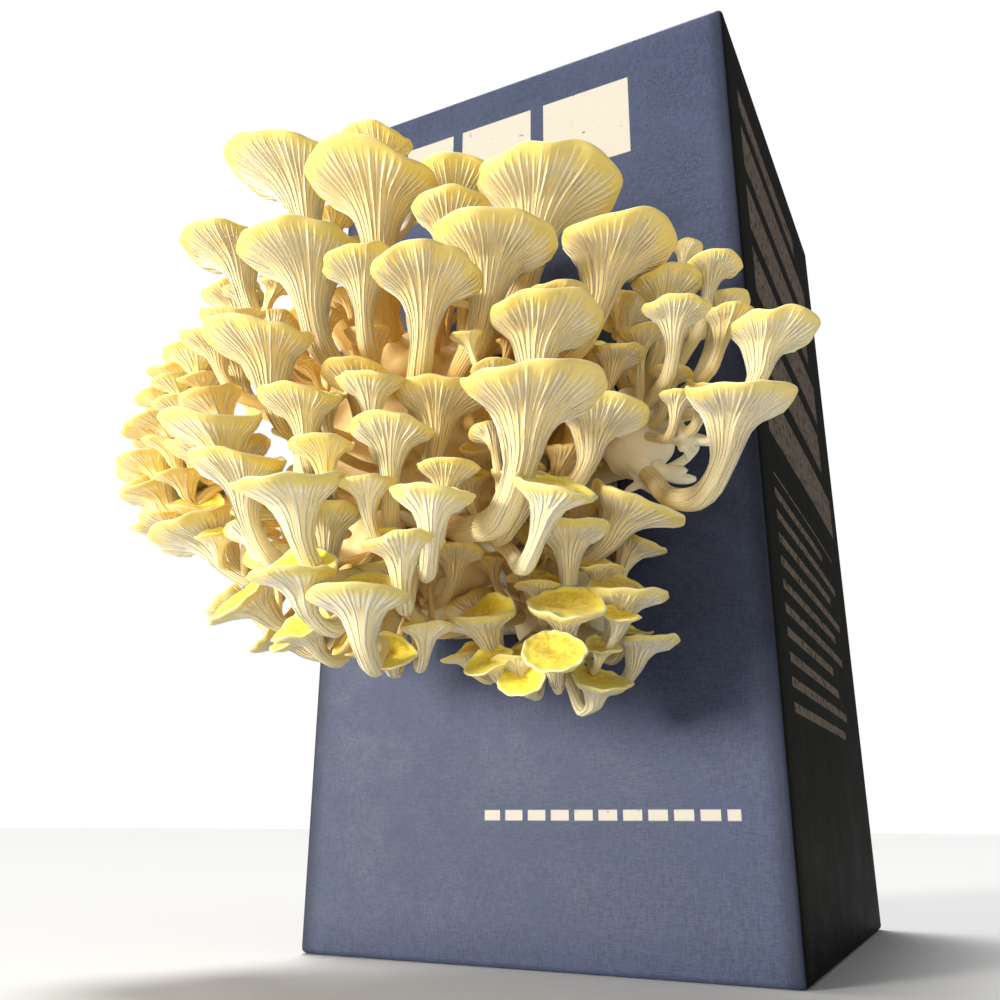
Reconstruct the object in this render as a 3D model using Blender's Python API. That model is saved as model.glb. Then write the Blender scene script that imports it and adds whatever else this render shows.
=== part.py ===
"""Golden oyster mushroom grow kit: a printed carton, the bagged block of spawn inside it, and one flush
of mushrooms growing out of the carton's window. Metres, +Z up. The carton's front faces -Y, and the
origin is under the middle of the carton, on the surface that it stands on."""

import math
import random

import bpy
from mathutils import Vector
from mathutils.bvhtree import BVHTree

MM = 0.001
GAP = 0.3 * MM  # air between two pieces that touch
UP = Vector((0, 0, 1))

# Carton: one blank of printed board, folded and glued.
WIDTH, DEPTH, HEIGHT = 150 * MM, 165 * MM, 300 * MM
BOARD = 1.5 * MM
CREASE = 1.6 * MM  # rounding of the folded corners
WINDOW_LEFT, WINDOW_RIGHT = -27 * MM, 32 * MM
WINDOW_LOW, WINDOW_HIGH = 92 * MM, 178 * MM

# Bag of clear film round the block, folded down on top, with a breathing patch on the fold.
SLACK = 0.5 * MM
FILM = 0.6 * MM
BAG_TOP = 226 * MM
SLIT_INSET = 1 * MM  # how far the slit in the film stays inside the window
FOLD_DEPTH, FOLD_HEIGHT = 70 * MM, 8 * MM
PATCH_SIDE, PATCH_THICK = 38 * MM, 0.8 * MM

# Mushroom proportions, as shares of the width of the cap.
FOOT_RADIUS, THROAT_RADIUS = 0.13, 0.18
CAP_DEPTH = 0.6
LOPSIDED = 0.45  # how much shorter the cap is behind its stem than in front
DISH_RADIUS, DISH_DEPTH, NAVEL_DEPTH = 0.55, 0.03, 0.13
WAVE = 0.035
NOD = 10  # degrees that a cap leans outwards
STEM_STEPS = (0, 0.35, 0.7, 1)
MOST_HOOK = 78  # degrees between the stem's whole run and its cap's axis
FLARE = ((0.34, 0.26), (0.14, 0.72), (0, 1))  # depth below the rim, and share of the way from stem to rim
BIG_CAP = 20 * MM
BIG_SIDES, SMALL_SIDES = 10, 8
POLE = 0.1 * MM  # how far the middle of a foot stands proud of its edge

# Crowded mushrooms push one another apart.
ROUNDS, SHRINK_AFTER = 120, 60
STEP = 0.6 * MM
CLEAR = 0.2 * MM
SHRINK = 0.97

# Knots: the joined bases of the stems, each a neck through the window and a swollen head.
# (head across, out, up), (head radii), (neck across, up), (neck radii), in mm.
KNOTS = {
    "main": ((-20, 34, 135), (38, 30, 46), (-7, 146), (16, 27)),
    "right": ((44, 18, 143), (12, 11, 14), (20, 147), (8, 15)),
    "low": ((20, 17, 93), (14, 12, 16), (15, 104), (13, 10)),
}
KNOT_SIDES = 14
HEAD_RINGS = (42, 66, 90, 114, 138, 162)  # degrees round the head, from the neck to its front

# Where the middle of each cap's rim is: across, out from the carton's front, up, width of the cap,
# and, where it isn't NOD, how far it leans outwards in degrees. In mm.
CAPS = {
    "main": (
        (-37, 80, 220, 30), (-7, 80, 205, 31), (-15, 68, 227, 19), (7, 58, 213, 24), (36, 59, 203, 34),
        (-63, 74, 203, 24), (-20, 92, 179, 28), (19, 92, 161, 23), (15, 74, 191, 20), (32, 77, 176, 28),
        (54, 57, 180, 27), (34, 70, 155, 25), (48, 46, 155, 13), (-23, 100, 150, 23), (41, 83, 130, 28),
        (12, 78, 138, 20), (47, 57, 134, 20), (-14, 99, 132, 17), (-6, 83, 144, 16), (11, 91, 123, 17),
        (-45, 86, 131, 22), (-16, 94, 118, 22), (-11, 86, 110, 20), (-67, 70, 117, 24, 28),
        (-36, 70, 105, 19, 18), (-51, 52, 90, 18, 45), (50, 41, 117, 22, 30), (-83, 49, 204, 19),
        (-62, 40, 226, 24), (-2, 90, 170, 18), (20, 32, 228, 23), (18, 82, 116, 15), (37, 63, 116, 18, 28),
        (8, 66, 104, 13), (-77, 36, 105, 22, 34), (-62, 77, 168, 15), (-70, 66, 168, 17),
        (-40, 92, 163, 15),
    ),
    "right": (
        (73, 36, 180, 13), (63, 40, 175, 17), (67, 52, 160, 15), (87, 37, 157, 20), (80, 48, 136, 24, 16),
    ),
    "low": (
        (38, 44, 106, 17, 8), (45, 40, 94, 19, 25), (36, 53, 88, 17, 36), (12, 55, 88, 18, 30),
        (34, 54, 79, 14, 48), (24, 51, 72, 11, 54), (46, 26, 84, 15, 18), (-14, 74, 94, 21, 26),
    ),
}

# The thicket of young mushrooms at the far left: a lobe that swells outwards from the main knot. Its
# middle, and how wide and tall it is at shares of its length, in mm.
THICKET_MIDDLE = (-92, 60, 148)
THICKET_RADII = ((0, 8, 9), (0.35, 11, 15), (0.62, 17, 25), (0.85, 19, 29), (1, 17, 27), (1.12, 11, 19))
THICKET_LENGTH = 1.2
THICKET_SIDES = 12

NAVY = (0.035, 0.042, 0.075)
CLEAR_FILM = (0.75, 0.77, 0.78)
PATCH_WHITE = (0.82, 0.83, 0.82)
SPAWN = (0.72, 0.62, 0.45)
CREAM = (0.86, 0.76, 0.53)
GOLD = (0.86, 0.72, 0.34)


def place(across, out, up):
    """A point given in mm from the middle of the foot of the carton's front face."""
    return Vector((across * MM, -DEPTH / 2 - out * MM, up * MM))


def material(name, colour, roughness):
    made = bpy.data.materials.new(name)
    made.use_nodes = True
    shader = made.node_tree.nodes["Principled BSDF"]
    shader.inputs["Base Color"].default_value = (*colour, 1)
    shader.inputs["Roughness"].default_value = roughness
    shader.inputs["Metallic"].default_value = 0
    return made


def add(name, points, faces, finish, smooth=False):
    """An object in the scene from points in metres and faces with their outsides out."""
    mesh = bpy.data.meshes.new(name)
    mesh.from_pydata(points, [], faces)
    mesh.materials.append(finish)
    if smooth:
        mesh.shade_smooth()
    made = bpy.data.objects.new(name, mesh)
    bpy.context.scene.collection.objects.link(made)
    return made


def block(low, high):
    """Points and faces of a box between two corners."""
    points = [(x, y, z) for z in (low[2], high[2]) for y in (low[1], high[1]) for x in (low[0], high[0])]
    faces = [(0, 2, 3, 1), (4, 5, 7, 6), (0, 1, 5, 4), (2, 6, 7, 3), (0, 4, 6, 2), (1, 3, 7, 5)]
    return points, faces


def cut(target, name, low, high):
    """Takes a box out of the target."""
    cutter = add(name, *block(low, high), target.data.materials[0])
    cutter.hide_render = True
    cutter.display_type = "WIRE"
    boolean = target.modifiers.new(name, "BOOLEAN")
    boolean.operation = "DIFFERENCE"
    boolean.object = cutter


def round_edges(target, width):
    bevel = target.modifiers.new("round", "BEVEL")
    bevel.width = width
    bevel.segments = 2


def tube(rings, start, end):
    """Points and triangles of a closed skin through rings of equal length, with a point at each end."""
    sides = len(rings[0])
    points = [start] + [point for ring in rings for point in ring] + [end]
    last = len(points) - 1
    faces = []
    for side in range(sides):
        after = (side + 1) % sides
        faces.append((0, 1 + after, 1 + side))
        faces.append((last, last - sides + side, last - sides + after))
        for row in range(len(rings) - 1):
            a, b = 1 + row * sides + side, 1 + row * sides + after
            faces += [(a, b, b + sides), (a, b + sides, a + sides)]
    return points, faces


class Knot:
    """The joined bases of one group of stems."""

    def __init__(self, head, radii, neck, neck_radii):
        self.middle = place(*head)
        self.radii = Vector((radii[0], radii[1], radii[2])) * MM
        self.neck, self.neck_radii = neck, neck_radii

    def surface(self, towards):
        """The point of the head in that direction from its middle, and the way it faces there."""
        scaled = Vector(t / r for t, r in zip(towards, self.radii))
        point = self.middle + towards / scaled.length
        normal = Vector((p - m) / r**2 for p, m, r in zip(point, self.middle, self.radii))
        return point, normal.normalized()

    def skin(self):
        inner = BOARD + SLACK + FILM
        neck = place(self.neck[0], 0, self.neck[1])
        wide, tall = self.neck_radii[0] * MM, self.neck_radii[1] * MM
        rings = []
        for out in (-inner, 2 * MM):
            rings.append([
                neck + Vector((math.cos(turn) * wide, -out, math.sin(turn) * tall))
                for turn in turns(KNOT_SIDES)
            ])
        for bend in HEAD_RINGS:
            size = math.sin(math.radians(bend))
            rings.append([
                self.middle + Vector((
                    math.cos(turn) * self.radii.x * size,
                    math.cos(math.radians(bend)) * self.radii.y,
                    math.sin(turn) * self.radii.z * size,
                ))
                for turn in turns(KNOT_SIDES)
            ])
        return tube(rings, neck + Vector((0, inner + POLE, 0)), self.middle - Vector((0, self.radii.y, 0)))


def turns(count):
    return [2 * math.pi * k / count for k in range(count)]


class Mushroom:
    """One stem and cap. Its skin is a stack of rings from the foot to the middle of the cap's top."""

    def __init__(self, name, knot, across, out, up, width, nod=NOD):
        self.name, self.knot = name, knot
        self.tip = place(across, out, up)
        self.width = width * MM
        self.nod = math.radians(nod)
        self.sides = BIG_SIDES if self.width >= BIG_CAP else SMALL_SIDES
        draw = random.Random(name)
        self.phases = [draw.uniform(0, 2 * math.pi) for _ in range(3)]
        outward = self.tip - knot.middle
        self.facing = Vector((outward.x, outward.y, 0)).normalized()
        self.towards = (self.throat() - knot.middle).normalized()
        while self.hook() > MOST_HOOK and self.towards.z > -0.95:
            self.towards = (self.towards - UP * 0.04).normalized()

    def axis(self):
        return UP * math.cos(self.nod) + self.facing * math.sin(self.nod)

    def rim(self):
        """The middle of the cap's rim."""
        return self.tip - self.facing * self.width * LOPSIDED / 2 / (2 - LOPSIDED)

    def throat(self):
        """Where the stem meets the cap."""
        return self.rim() - self.axis() * self.width * CAP_DEPTH

    def hook(self):
        """Degrees between the whole run of the stem and the cap's axis."""
        run = self.throat() - self.knot.surface(self.towards)[0]
        return math.degrees(run.angle(self.axis()))

    def frame(self, along):
        """Two directions square to along: the cap's long side, and across it."""
        side = self.facing.cross(UP)
        side = (side - along * side.dot(along)).normalized()
        return along.cross(side), -side

    def ring(self, middle, along, radius, spread):
        """A ring that goes from round, at spread 0, to the cap's wavy outline, at spread 1."""
        front, across = self.frame(along)
        points = []
        for turn in turns(self.sides):
            reach = radius * (1 - spread * LOPSIDED * (1 - math.cos(turn)) / 2)
            reach *= 1 + spread * WAVE * (
                math.sin(3 * turn + self.phases[0]) + math.sin(2 * turn + self.phases[1])
            )
            lift = spread**2 * WAVE * self.width * math.sin(2 * turn + self.phases[2])
            points.append(middle + (front * math.cos(turn) + across * math.sin(turn)) * reach + along * lift)
        return points

    def centres(self):
        """The middle of each ring, the way the stem runs there, its radius and its spread."""
        axis, width, rim, throat = self.axis(), self.width, self.rim(), self.throat()
        reach = width / (2 - LOPSIDED)
        foot, normal = self.knot.surface(self.towards)
        foot += normal * (GAP + POLE)
        span = (throat - foot).length
        path = (foot, foot + normal * span * 0.4, throat - axis * span * 0.4, throat)
        found = []
        for share in STEM_STEPS:
            point, along = bezier(path, share)
            found.append((point, along, width * (FOOT_RADIUS + (THROAT_RADIUS - FOOT_RADIUS) * share), 0))
        stem = width * THROAT_RADIUS
        for drop, spread in FLARE:
            found.append((rim - axis * width * drop, axis, stem + (reach - stem) * spread, spread))
        found.append((rim - axis * width * DISH_DEPTH, axis, reach * DISH_RADIUS, DISH_RADIUS))
        return found

    def skin(self, swell=0):
        found = self.centres()
        rings = [self.ring(middle, along, radius + swell, spread) for middle, along, radius, spread in found]
        foot, normal = found[0][0], found[0][1]
        top, axis = found[-1][0], found[-1][1]
        navel = top - axis * self.width * (NAVEL_DEPTH - DISH_DEPTH)
        return tube(rings, foot - normal * (POLE + min(swell, GAP / 2)), navel)

    def nearest(self, point):
        """The ring's middle nearest to a point, and how far along the mushroom it is, from 0 to 1."""
        middles = [found[0] for found in self.centres()]
        found = min(range(len(middles)), key=lambda k: (middles[k] - point).length)
        return middles[found], found / (len(middles) - 1)


def bezier(path, share):
    """The point and the direction at a share of a cubic curve."""
    rest = 1 - share
    weights = (rest**3, 3 * rest**2 * share, 3 * rest * share**2, share**3)
    point = sum((corner * weight for corner, weight in zip(path, weights)), Vector())
    steps = (path[1] - path[0], path[2] - path[1], path[3] - path[2])
    slopes = (rest**2, 2 * rest * share, share**2)
    along = sum((step * slope for step, slope in zip(steps, slopes)), Vector())
    return point, along.normalized()


def spread_feet(mushrooms):
    """Moves the feet on a knot apart until none stands on another."""
    for _ in range(ROUNDS):
        crowded = False
        for first, one in enumerate(mushrooms):
            for other in mushrooms[first + 1 :]:
                if one.knot is not other.knot:
                    continue
                a, b = one.knot.surface(one.towards)[0], other.knot.surface(other.towards)[0]
                room = (one.width + other.width) * FOOT_RADIUS + 2 * GAP
                if (b - a).length >= room:
                    continue
                crowded = True
                push = (b - a).normalized() * (room - (b - a).length) * 0.5
                one.towards = (a - push - one.knot.middle).normalized()
                other.towards = (b + push - other.knot.middle).normalized()
        if not crowded:
            return


def settle(mushrooms, solids):
    """Moves the caps that press on one another, or on a solid, apart, and at last makes them smaller."""
    fixed = [(BVHTree.FromPolygons(*skin), middle) for skin, middle in solids]
    for turn in range(ROUNDS):
        skins = [one.skin(CLEAR) for one in mushrooms]
        trees = [BVHTree.FromPolygons(*skin) for skin in skins]
        pushes = [Vector() for _ in mushrooms]
        pressed = set()
        for i, one in enumerate(mushrooms):
            for j in range(i + 1, len(mushrooms)):
                other = mushrooms[j]
                crossing = trees[i].overlap(trees[j])
                if not crossing:
                    continue
                pressed |= {i, j}
                meet = meeting(skins[i], crossing)
                a, a_share = one.nearest(meet)
                b, b_share = other.nearest(meet)
                apart = (b - a).normalized() * STEP
                pushes[i] -= apart * a_share
                pushes[j] += apart * b_share
            for tree, middle in fixed:
                crossing = trees[i].overlap(tree)
                if crossing:
                    pressed.add(i)
                    pushes[i] += (meeting(skins[i], crossing) - middle).normalized() * STEP
        if not pressed:
            return
        for i in pressed:
            mushrooms[i].tip += pushes[i]
            if turn >= SHRINK_AFTER:
                mushrooms[i].width *= SHRINK
    print("still pressed:", [mushrooms[i].name for i in pressed])


def meeting(skin, crossing):
    """The middle of the triangles of a skin that cross another."""
    points, faces = skin
    corners = [points[corner] for face, _ in crossing for corner in faces[face]]
    return sum(corners, Vector()) / len(corners)


def make_carton():
    board = material("printed_board", NAVY, 0.55)
    half, deep = WIDTH / 2, DEPTH / 2
    carton = add("carton", *block((-half, -deep, 0), (half, deep, HEIGHT)), board)
    round_edges(carton, CREASE)
    inside = (half - BOARD, deep - BOARD)
    cut(carton, "carton_inside", (-inside[0], -inside[1], BOARD), (inside[0], inside[1], HEIGHT - BOARD))
    corners = (WINDOW_LEFT, -deep - BOARD, WINDOW_LOW), (WINDOW_RIGHT, BOARD - deep + GAP, WINDOW_HIGH)
    cut(carton, "carton_window", *corners)


def make_contents():
    """The block of spawn, the bag round it and the patch on the bag's fold."""
    half, deep, low = WIDTH / 2 - BOARD - SLACK, DEPTH / 2 - BOARD - SLACK, BOARD + GAP
    film = material("bag_film", CLEAR_FILM, 0.25)
    bag = add("grow_bag", *block((-half, -deep, low), (half, deep, BAG_TOP)), film)
    fold_top = BAG_TOP + FOLD_HEIGHT
    corners = (-half, -FOLD_DEPTH / 2, BAG_TOP - FILM), (half, FOLD_DEPTH / 2, fold_top)
    fold = add("bag_fold", *block(*corners), film)
    fold.hide_render = True
    fold.display_type = "WIRE"
    join = bag.modifiers.new("fold", "BOOLEAN")
    join.operation = "UNION"
    join.object = fold
    cut(bag, "bag_inside", (FILM - half, FILM - deep, low + FILM), (half - FILM, deep - FILM, BAG_TOP - FILM))
    slit_low = (WINDOW_LEFT + SLIT_INSET, -deep - FILM, WINDOW_LOW + SLIT_INSET)
    slit_high = (WINDOW_RIGHT - SLIT_INSET, 2 * FILM - deep, WINDOW_HIGH - SLIT_INSET)
    cut(bag, "bag_slit", slit_low, slit_high)

    skin = FILM + GAP
    spawn = material("spawn", SPAWN, 0.9)
    corners = (skin - half, skin - deep, low + skin), (half - skin, deep - skin, BAG_TOP - skin)
    spawn_block = add("substrate_block", *block(*corners), spawn)
    round_edges(spawn_block, 3 * MM)

    patch = material("patch_fibre", PATCH_WHITE, 0.8)
    side = PATCH_SIDE / 2
    base = fold_top + GAP
    filter_patch = add("filter_patch", *block((-side, -side, base), (side, side, base + PATCH_THICK)), patch)
    round_edges(filter_patch, PATCH_THICK / 4)


def thicket(knot):
    """Skin of the thicket of young mushrooms, from the knot outwards."""
    middle = place(*THICKET_MIDDLE)
    foot, normal = knot.surface(middle - knot.middle)
    foot += normal * (GAP + POLE)
    along = (middle - foot).normalized()
    across = along.cross(UP).normalized()
    up = across.cross(along)
    rings = []
    for share, wide, tall in THICKET_RADII:
        centre = foot.lerp(middle, share)
        rings.append([
            centre + across * (math.cos(turn) * wide * MM) - up * (math.sin(turn) * tall * MM)
            for turn in turns(THICKET_SIDES)
        ])
    return tube(rings, foot - normal * POLE, foot.lerp(middle, THICKET_LENGTH))


def make_cluster():
    flesh = material("mushroom_flesh", CREAM, 0.55)
    young = material("young_caps", GOLD, 0.6)
    knots = {name: Knot(*sizes) for name, sizes in KNOTS.items()}
    mushrooms = []
    for group, rows in CAPS.items():
        for number, row in enumerate(rows, 1):
            mushrooms.append(Mushroom(f"mushroom_{group}_{number:02d}", knots[group], *row))
    spread_feet(mushrooms)
    front = block((-WIDTH / 2, -DEPTH / 2, 0), (WIDTH / 2, 0, HEIGHT))
    wall = [Vector(point) for point in front[0]], front[1]
    solids = [(knot.skin(), knot.middle) for knot in knots.values()]
    young_lobe = thicket(knots["main"])
    solids += [(young_lobe, place(*THICKET_MIDDLE)), (wall, place(0, -DEPTH / 2 / MM, 140))]
    settle(mushrooms, solids)
    for name, knot in knots.items():
        add(f"knot_{name}", *knot.skin(), flesh, smooth=True)
    add("young_thicket", *young_lobe, young, smooth=True)
    for one in mushrooms:
        add(one.name, *one.skin(), flesh, smooth=True)


def main():
    for old in list(bpy.data.objects):
        bpy.data.objects.remove(old)
    make_carton()
    make_contents()
    make_cluster()


main()
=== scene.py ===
"""Looks of the oyster mushroom grow kit: a navy printed carton, the bagged block of spawn inside it,
and the flush of golden oyster mushrooms that grows out of its window."""

import math

import bmesh
import bpy
import numpy as np
from bpy.props import FloatProperty, FloatVectorProperty, IntProperty, PointerProperty
from mathutils import Matrix, Vector
from mathutils.bvhtree import BVHTree


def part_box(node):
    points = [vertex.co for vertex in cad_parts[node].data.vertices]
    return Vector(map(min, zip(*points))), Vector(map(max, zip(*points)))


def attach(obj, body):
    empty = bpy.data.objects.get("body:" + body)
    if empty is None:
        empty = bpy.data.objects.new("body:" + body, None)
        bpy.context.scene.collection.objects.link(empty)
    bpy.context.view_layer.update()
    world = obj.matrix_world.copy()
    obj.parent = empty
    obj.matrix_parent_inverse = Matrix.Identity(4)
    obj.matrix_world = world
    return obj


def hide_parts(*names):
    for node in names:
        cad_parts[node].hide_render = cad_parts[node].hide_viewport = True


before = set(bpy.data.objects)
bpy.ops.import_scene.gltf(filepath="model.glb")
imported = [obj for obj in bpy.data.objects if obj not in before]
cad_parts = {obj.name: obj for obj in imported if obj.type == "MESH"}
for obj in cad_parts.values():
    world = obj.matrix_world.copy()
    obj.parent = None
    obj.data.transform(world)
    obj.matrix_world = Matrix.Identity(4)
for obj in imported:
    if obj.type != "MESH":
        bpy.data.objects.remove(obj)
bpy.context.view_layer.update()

bl_info = {
    "name": "Oyster mushroom grow kit",
    "version": (1, 0, 0),
    "blender": (4, 5, 0),
    "location": "3D View > Sidebar > Grow kit",
    "description": "Dresses the grow kit: carton, spawn, joined stems, mushrooms, young ones and stage",
    "category": "Object",
}

MM = 0.001
BODY = "root"
CARTON_LOW, CARTON_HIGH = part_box("carton")
BAG_LOW, BAG_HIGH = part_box("grow_bag")
BLOCK_LOW, BLOCK_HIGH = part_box("substrate_block")
PATCH_LOW, PATCH_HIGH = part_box("filter_patch")
THICKET_LOW, THICKET_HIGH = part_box("young_thicket")
FRONT = CARTON_LOW.y
WINDOW_LEFT, WINDOW_RIGHT = -27 * MM, 32 * MM
WINDOW_LOW, WINDOW_HIGH = 92 * MM, 178 * MM
BOARD = 1.5 * MM
CREASE = 1.6 * MM  # radius of the carton's corners and folds
FILM = 0.12 * MM
UP = np.array((0.0, 0.0, 1.0))

KNOTS = [name for name in sorted(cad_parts) if name.startswith("knot_")]
MUSHROOMS = [name for name in sorted(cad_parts) if name.startswith("mushroom_")]
OUTER_RINGS = 7  # rings of a mushroom's CAD skin from the foot to the rim; one more lies on the cap's top
SKIN_ROWS = 25  # rows that the skin gets from the foot to the rim at full detail
WIDE_CAP = 28 * MM  # a cap of this width or more has the full count of gills

# Small caps of the low group and of the gaps, each with its foot on a knot: how far the cap's middle lies
# across, out from the carton's front and up, the cap's width, all in mm, and its lean outwards in degrees.
SMALL_CAPS = {
    "knot_low": (
        (22, 50, 77, 12, 22), (43, 25, 86, 10.5, 24), (37, 32, 73, 14, 30), (18, 26, 112, 8, 8),
        (8, 30, 108, 9, 14), (41, 40, 100, 13, 26), (3, 44, 80, 10, 30), (47, 44, 86, 12, 34),
        (40, 38, 80, 12, 36), (29, 44, 76, 12, 40), (16, 54, 76, 11, 44), (26, 46, 96, 12, 24),
        (20, 40, 100, 11, 20),
    ),
    "knot_main": (
        (12, 88, 98, 16.5, 18), (1, 88, 88, 21, 20), (-12, 96, 93, 18.5, 30), (46, 80, 108, 17, 31),
        (-21, 80, 83, 13.5, 44), (-2, 70, 77, 12, 52), (7, 68, 82, 11, 10), (-8, 104, 110, 22, 20),
        (22, 92, 106, 17, 16), (6, 94, 110, 12.5, 14), (4, 92, 136, 14.5, 14), (-13, 88, 137, 11.5, 16),
        (-3, 100, 119, 13.5, 20), (-32, 104, 128, 21, 16), (-44, 76, 94, 18, 48), (-36, 62, 86, 14, 44),
        (-19, 57, 84, 15.5, 50), (42, 68, 162, 14, 12), (22, 46, 128, 12, 20), (28, 52, 146, 12, 12),
        (-8, 60, 118, 12, 20),
    ),
    "knot_right": (
        (64, 25, 194, 8, 10), (71, 25, 185, 9, 10), (73, 26, 174, 13, 12), (54, 40, 162, 12, 10),
        (60, 34, 152, 11, 18), (70, 33, 146, 12, 22), (58, 30, 164, 12, 12), (64, 42, 141, 10, 20),
        (76, 32, 166, 13, 14),
    ),
}


# ---------------------------------------------------------------- sizes and colours a user may change


def colour(title, about, value):
    """A colour that a user may change."""
    return FloatVectorProperty(name=title, description=about, default=value, subtype="COLOR", min=0, max=1)


def measure(title, about, value, least, most):
    """A length that a user may change."""
    return FloatProperty(
        name=title, description=about, default=value, min=least, max=most, subtype="DISTANCE", unit="LENGTH"
    )


def factor(title, about, value, least, most):
    """A share that a user may change."""
    return FloatProperty(name=title, description=about, default=value, min=least, max=most, subtype="FACTOR")


def brightness(title, about, value, unit="NONE"):
    """A light's strength, or its power in watts, that a user may change."""
    return FloatProperty(name=title, description=about, default=value, min=0, unit=unit)


class CartonLook(bpy.types.PropertyGroup):
    """Printed board of the carton."""

    bulge: measure("Bulge", "How far the panels swell between their creases", 0.5 * MM, 0, 3 * MM)
    board: colour("Board print", "Navy that covers the outside", (0.045, 0.057, 0.104))
    side: colour("Side print", "Darker print of the narrow sides", (0.010, 0.010, 0.008))
    ink: colour("Light ink", "Cream of the plain bars on the front", (0.50, 0.47, 0.40))
    worn_ink: colour("Worn ink", "Taupe of the bars on the sides", (0.16, 0.125, 0.095))
    core: colour("Board core", "Grey-brown of cut edges and the inside", (0.42, 0.34, 0.25))


class SpawnLook(bpy.types.PropertyGroup):
    """Block of spawn and the bag round it."""

    mycelium: colour("Mycelium", "White threads that bind the block", (0.82, 0.78, 0.68))
    sawdust: colour("Sawdust", "Tan of the bare sawdust", (0.45, 0.31, 0.17))
    lump: measure("Lumps", "Height of the lumps of the block", 0.5 * MM, 0, 2 * MM)


class FleshLook(bpy.types.PropertyGroup):
    """Shape and colour of the mushrooms. Shares are of the cap's width unless they say otherwise."""

    gill_count: IntProperty(name="Gills", description="Gills round a wide cap", default=60, min=12, max=90)
    gill_height: factor("Gill height", "Height of a gill", 0.035, 0, 0.1)
    waist: factor("Waist", "How far the flare is hollowed, as a share of how wide it is there", 0.24, 0, 0.5)
    spread: factor("Spread", "How much wider than in the CAD the cap's soft edge is", 0.08, 0, 0.2)
    arch: factor("Arch", "How far the cap's sides hang below its front", 0.12, 0, 0.4)
    band_width: factor("Bare band", "Band without gills under the rim", 0.075, 0, 0.4)
    lip: factor("Rolled edge", "Thickness of the rolled edge", 0.02, 0.002, 0.08)
    rim_ripple: factor("Rim ripple", "Fine waves of the rim", 0.012, 0, 0.05)
    granule: factor("Granules", "Height of the granules on the cap's top", 0.0018, 0, 0.015)
    ridge: colour("Gill edge", "Cream of the gills' edges", (0.97, 0.94, 0.83))
    # Colours between the gills: partly the flesh's own, partly painted shade in the recesses.
    pale: colour("Pale flesh", "Colour between the gills of a pale mushroom", (0.85, 0.75, 0.46))
    valley: colour("Golden flesh", "Colour between the gills of a golden mushroom", (0.86, 0.62, 0.20))
    band: colour("Band", "Yellow-green band under the rim", (0.74, 0.61, 0.14))
    margin: colour("Margin", "Pale line of the rim", (0.93, 0.89, 0.52))
    cap: colour("Cap top", "Yellow of the cap's top", (1.0, 0.87, 0.10))
    centre: colour("Cap centre", "Amber of the cap's middle", (0.98, 0.58, 0.02))
    # Deep amber is a painted glow and shade, multiplied into flesh and stems deep in the flush.
    amber: colour("Deep amber", "Tint that flesh takes deep in the flush", (0.98, 0.76, 0.36))
    stem: colour("Joined stems", "White-cream of the joined stems", (0.94, 0.88, 0.68))


class SprigLook(bpy.types.PropertyGroup):
    """Small mushrooms between the large ones."""

    count: IntProperty(name="Sprigs", description="Most sprigs in the gaps", default=108, min=0, max=240)
    smallest: measure("Smallest", "Narrowest cap", 7 * MM, MM, 20 * MM)
    largest: measure("Largest", "Widest cap", 15 * MM, MM, 30 * MM)
    seed: IntProperty(name="Seed", description="Changes where the sprigs stand", default=5, min=0)


class StageLook(bpy.types.PropertyGroup):
    """Floor, light and background."""

    floor: colour("Floor", "Colour of the floor", (0.88, 0.88, 0.88))
    key: brightness("Key light", "Strength of the large soft light", 3.8)
    top: brightness("Top light", "Strength of the light from above", 2.4)
    low: brightness("Low light", "Power of the small low light", 5, "POWER")
    fill: brightness("Fill light", "Power of each of the two weak lights", 0.3, "POWER")
    ambient: brightness("Ambient", "Strength of the light from all round", 0.24)


LOOKS = {
    "growkit_carton": CartonLook,
    "growkit_spawn": SpawnLook,
    "growkit_flesh": FleshLook,
    "growkit_sprigs": SprigLook,
    "growkit_stage": StageLook,
}


# ---------------------------------------------------------------- small helpers


def smooth_step(low, high, value):
    """0 up to low, 1 from high on, and a smooth rise between them."""
    share = np.clip((value - low) / (high - low), 0, 1)
    return share * share * (3 - 2 * share)


def unit(vector):
    """A vector, or each of many, made one long."""
    return vector / np.maximum(np.linalg.norm(vector, axis=-1, keepdims=True), 1e-12)


def luck(name):
    """Random numbers that are the same each time for that name."""
    return np.random.default_rng(list(name.encode()))


def ripples(points, draw, pace, count):
    """Soft random bumps at the points: the mean of sine waves, each in a random direction.

    Pace is how fast they change, in radians a metre."""
    return sum(np.sin(points @ draw.normal(0, pace, 3) + draw.uniform(0, 6)) for _ in range(count)) / count


def shaded(tint, share):
    """A colour made darker, or lighter with a share above 1."""
    return [channel * share for channel in tint]


def place(across, out, up):
    """A point in mm from the middle of the foot of the carton's front."""
    return np.array((across * MM, FRONT - out * MM, up * MM))


def stand(name, mesh):
    mesh.shade_smooth()
    mesh.update()
    made = bpy.data.objects.new(name, mesh)
    bpy.context.scene.collection.objects.link(made)
    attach(made, BODY)
    return made


def add(name, points, faces, finishes, marks=None, ways=None):
    """A piece made of points and faces. Marks are named colour layers with one colour a point, and ways
    are two coordinates at each corner of each face."""
    mesh = bpy.data.meshes.new(name)
    mesh.from_pydata([tuple(point) for point in points], [], faces)
    for finish in finishes:
        mesh.materials.append(finish)
    for title, values in (marks or {}).items():
        mark(mesh, title, values)
    if ways is not None:
        mesh.uv_layers.new(name="ways").uv.foreach_set("vector", ways.astype(np.float32).ravel())
    return stand(name, mesh)


def settle_modifiers(piece):
    """Replaces the piece's mesh by what its modifiers make of it."""
    graph = bpy.context.evaluated_depsgraph_get()
    graph.update()
    mesh = bpy.data.meshes.new_from_object(piece.evaluated_get(graph))
    piece.modifiers.clear()
    piece.data = mesh


def points_of(mesh):
    """A mesh's points as rows of x, y and z."""
    raw = np.empty(len(mesh.vertices) * 3, np.float32)
    mesh.vertices.foreach_get("co", raw)
    return raw.reshape(-1, 3).astype(float)


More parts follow.
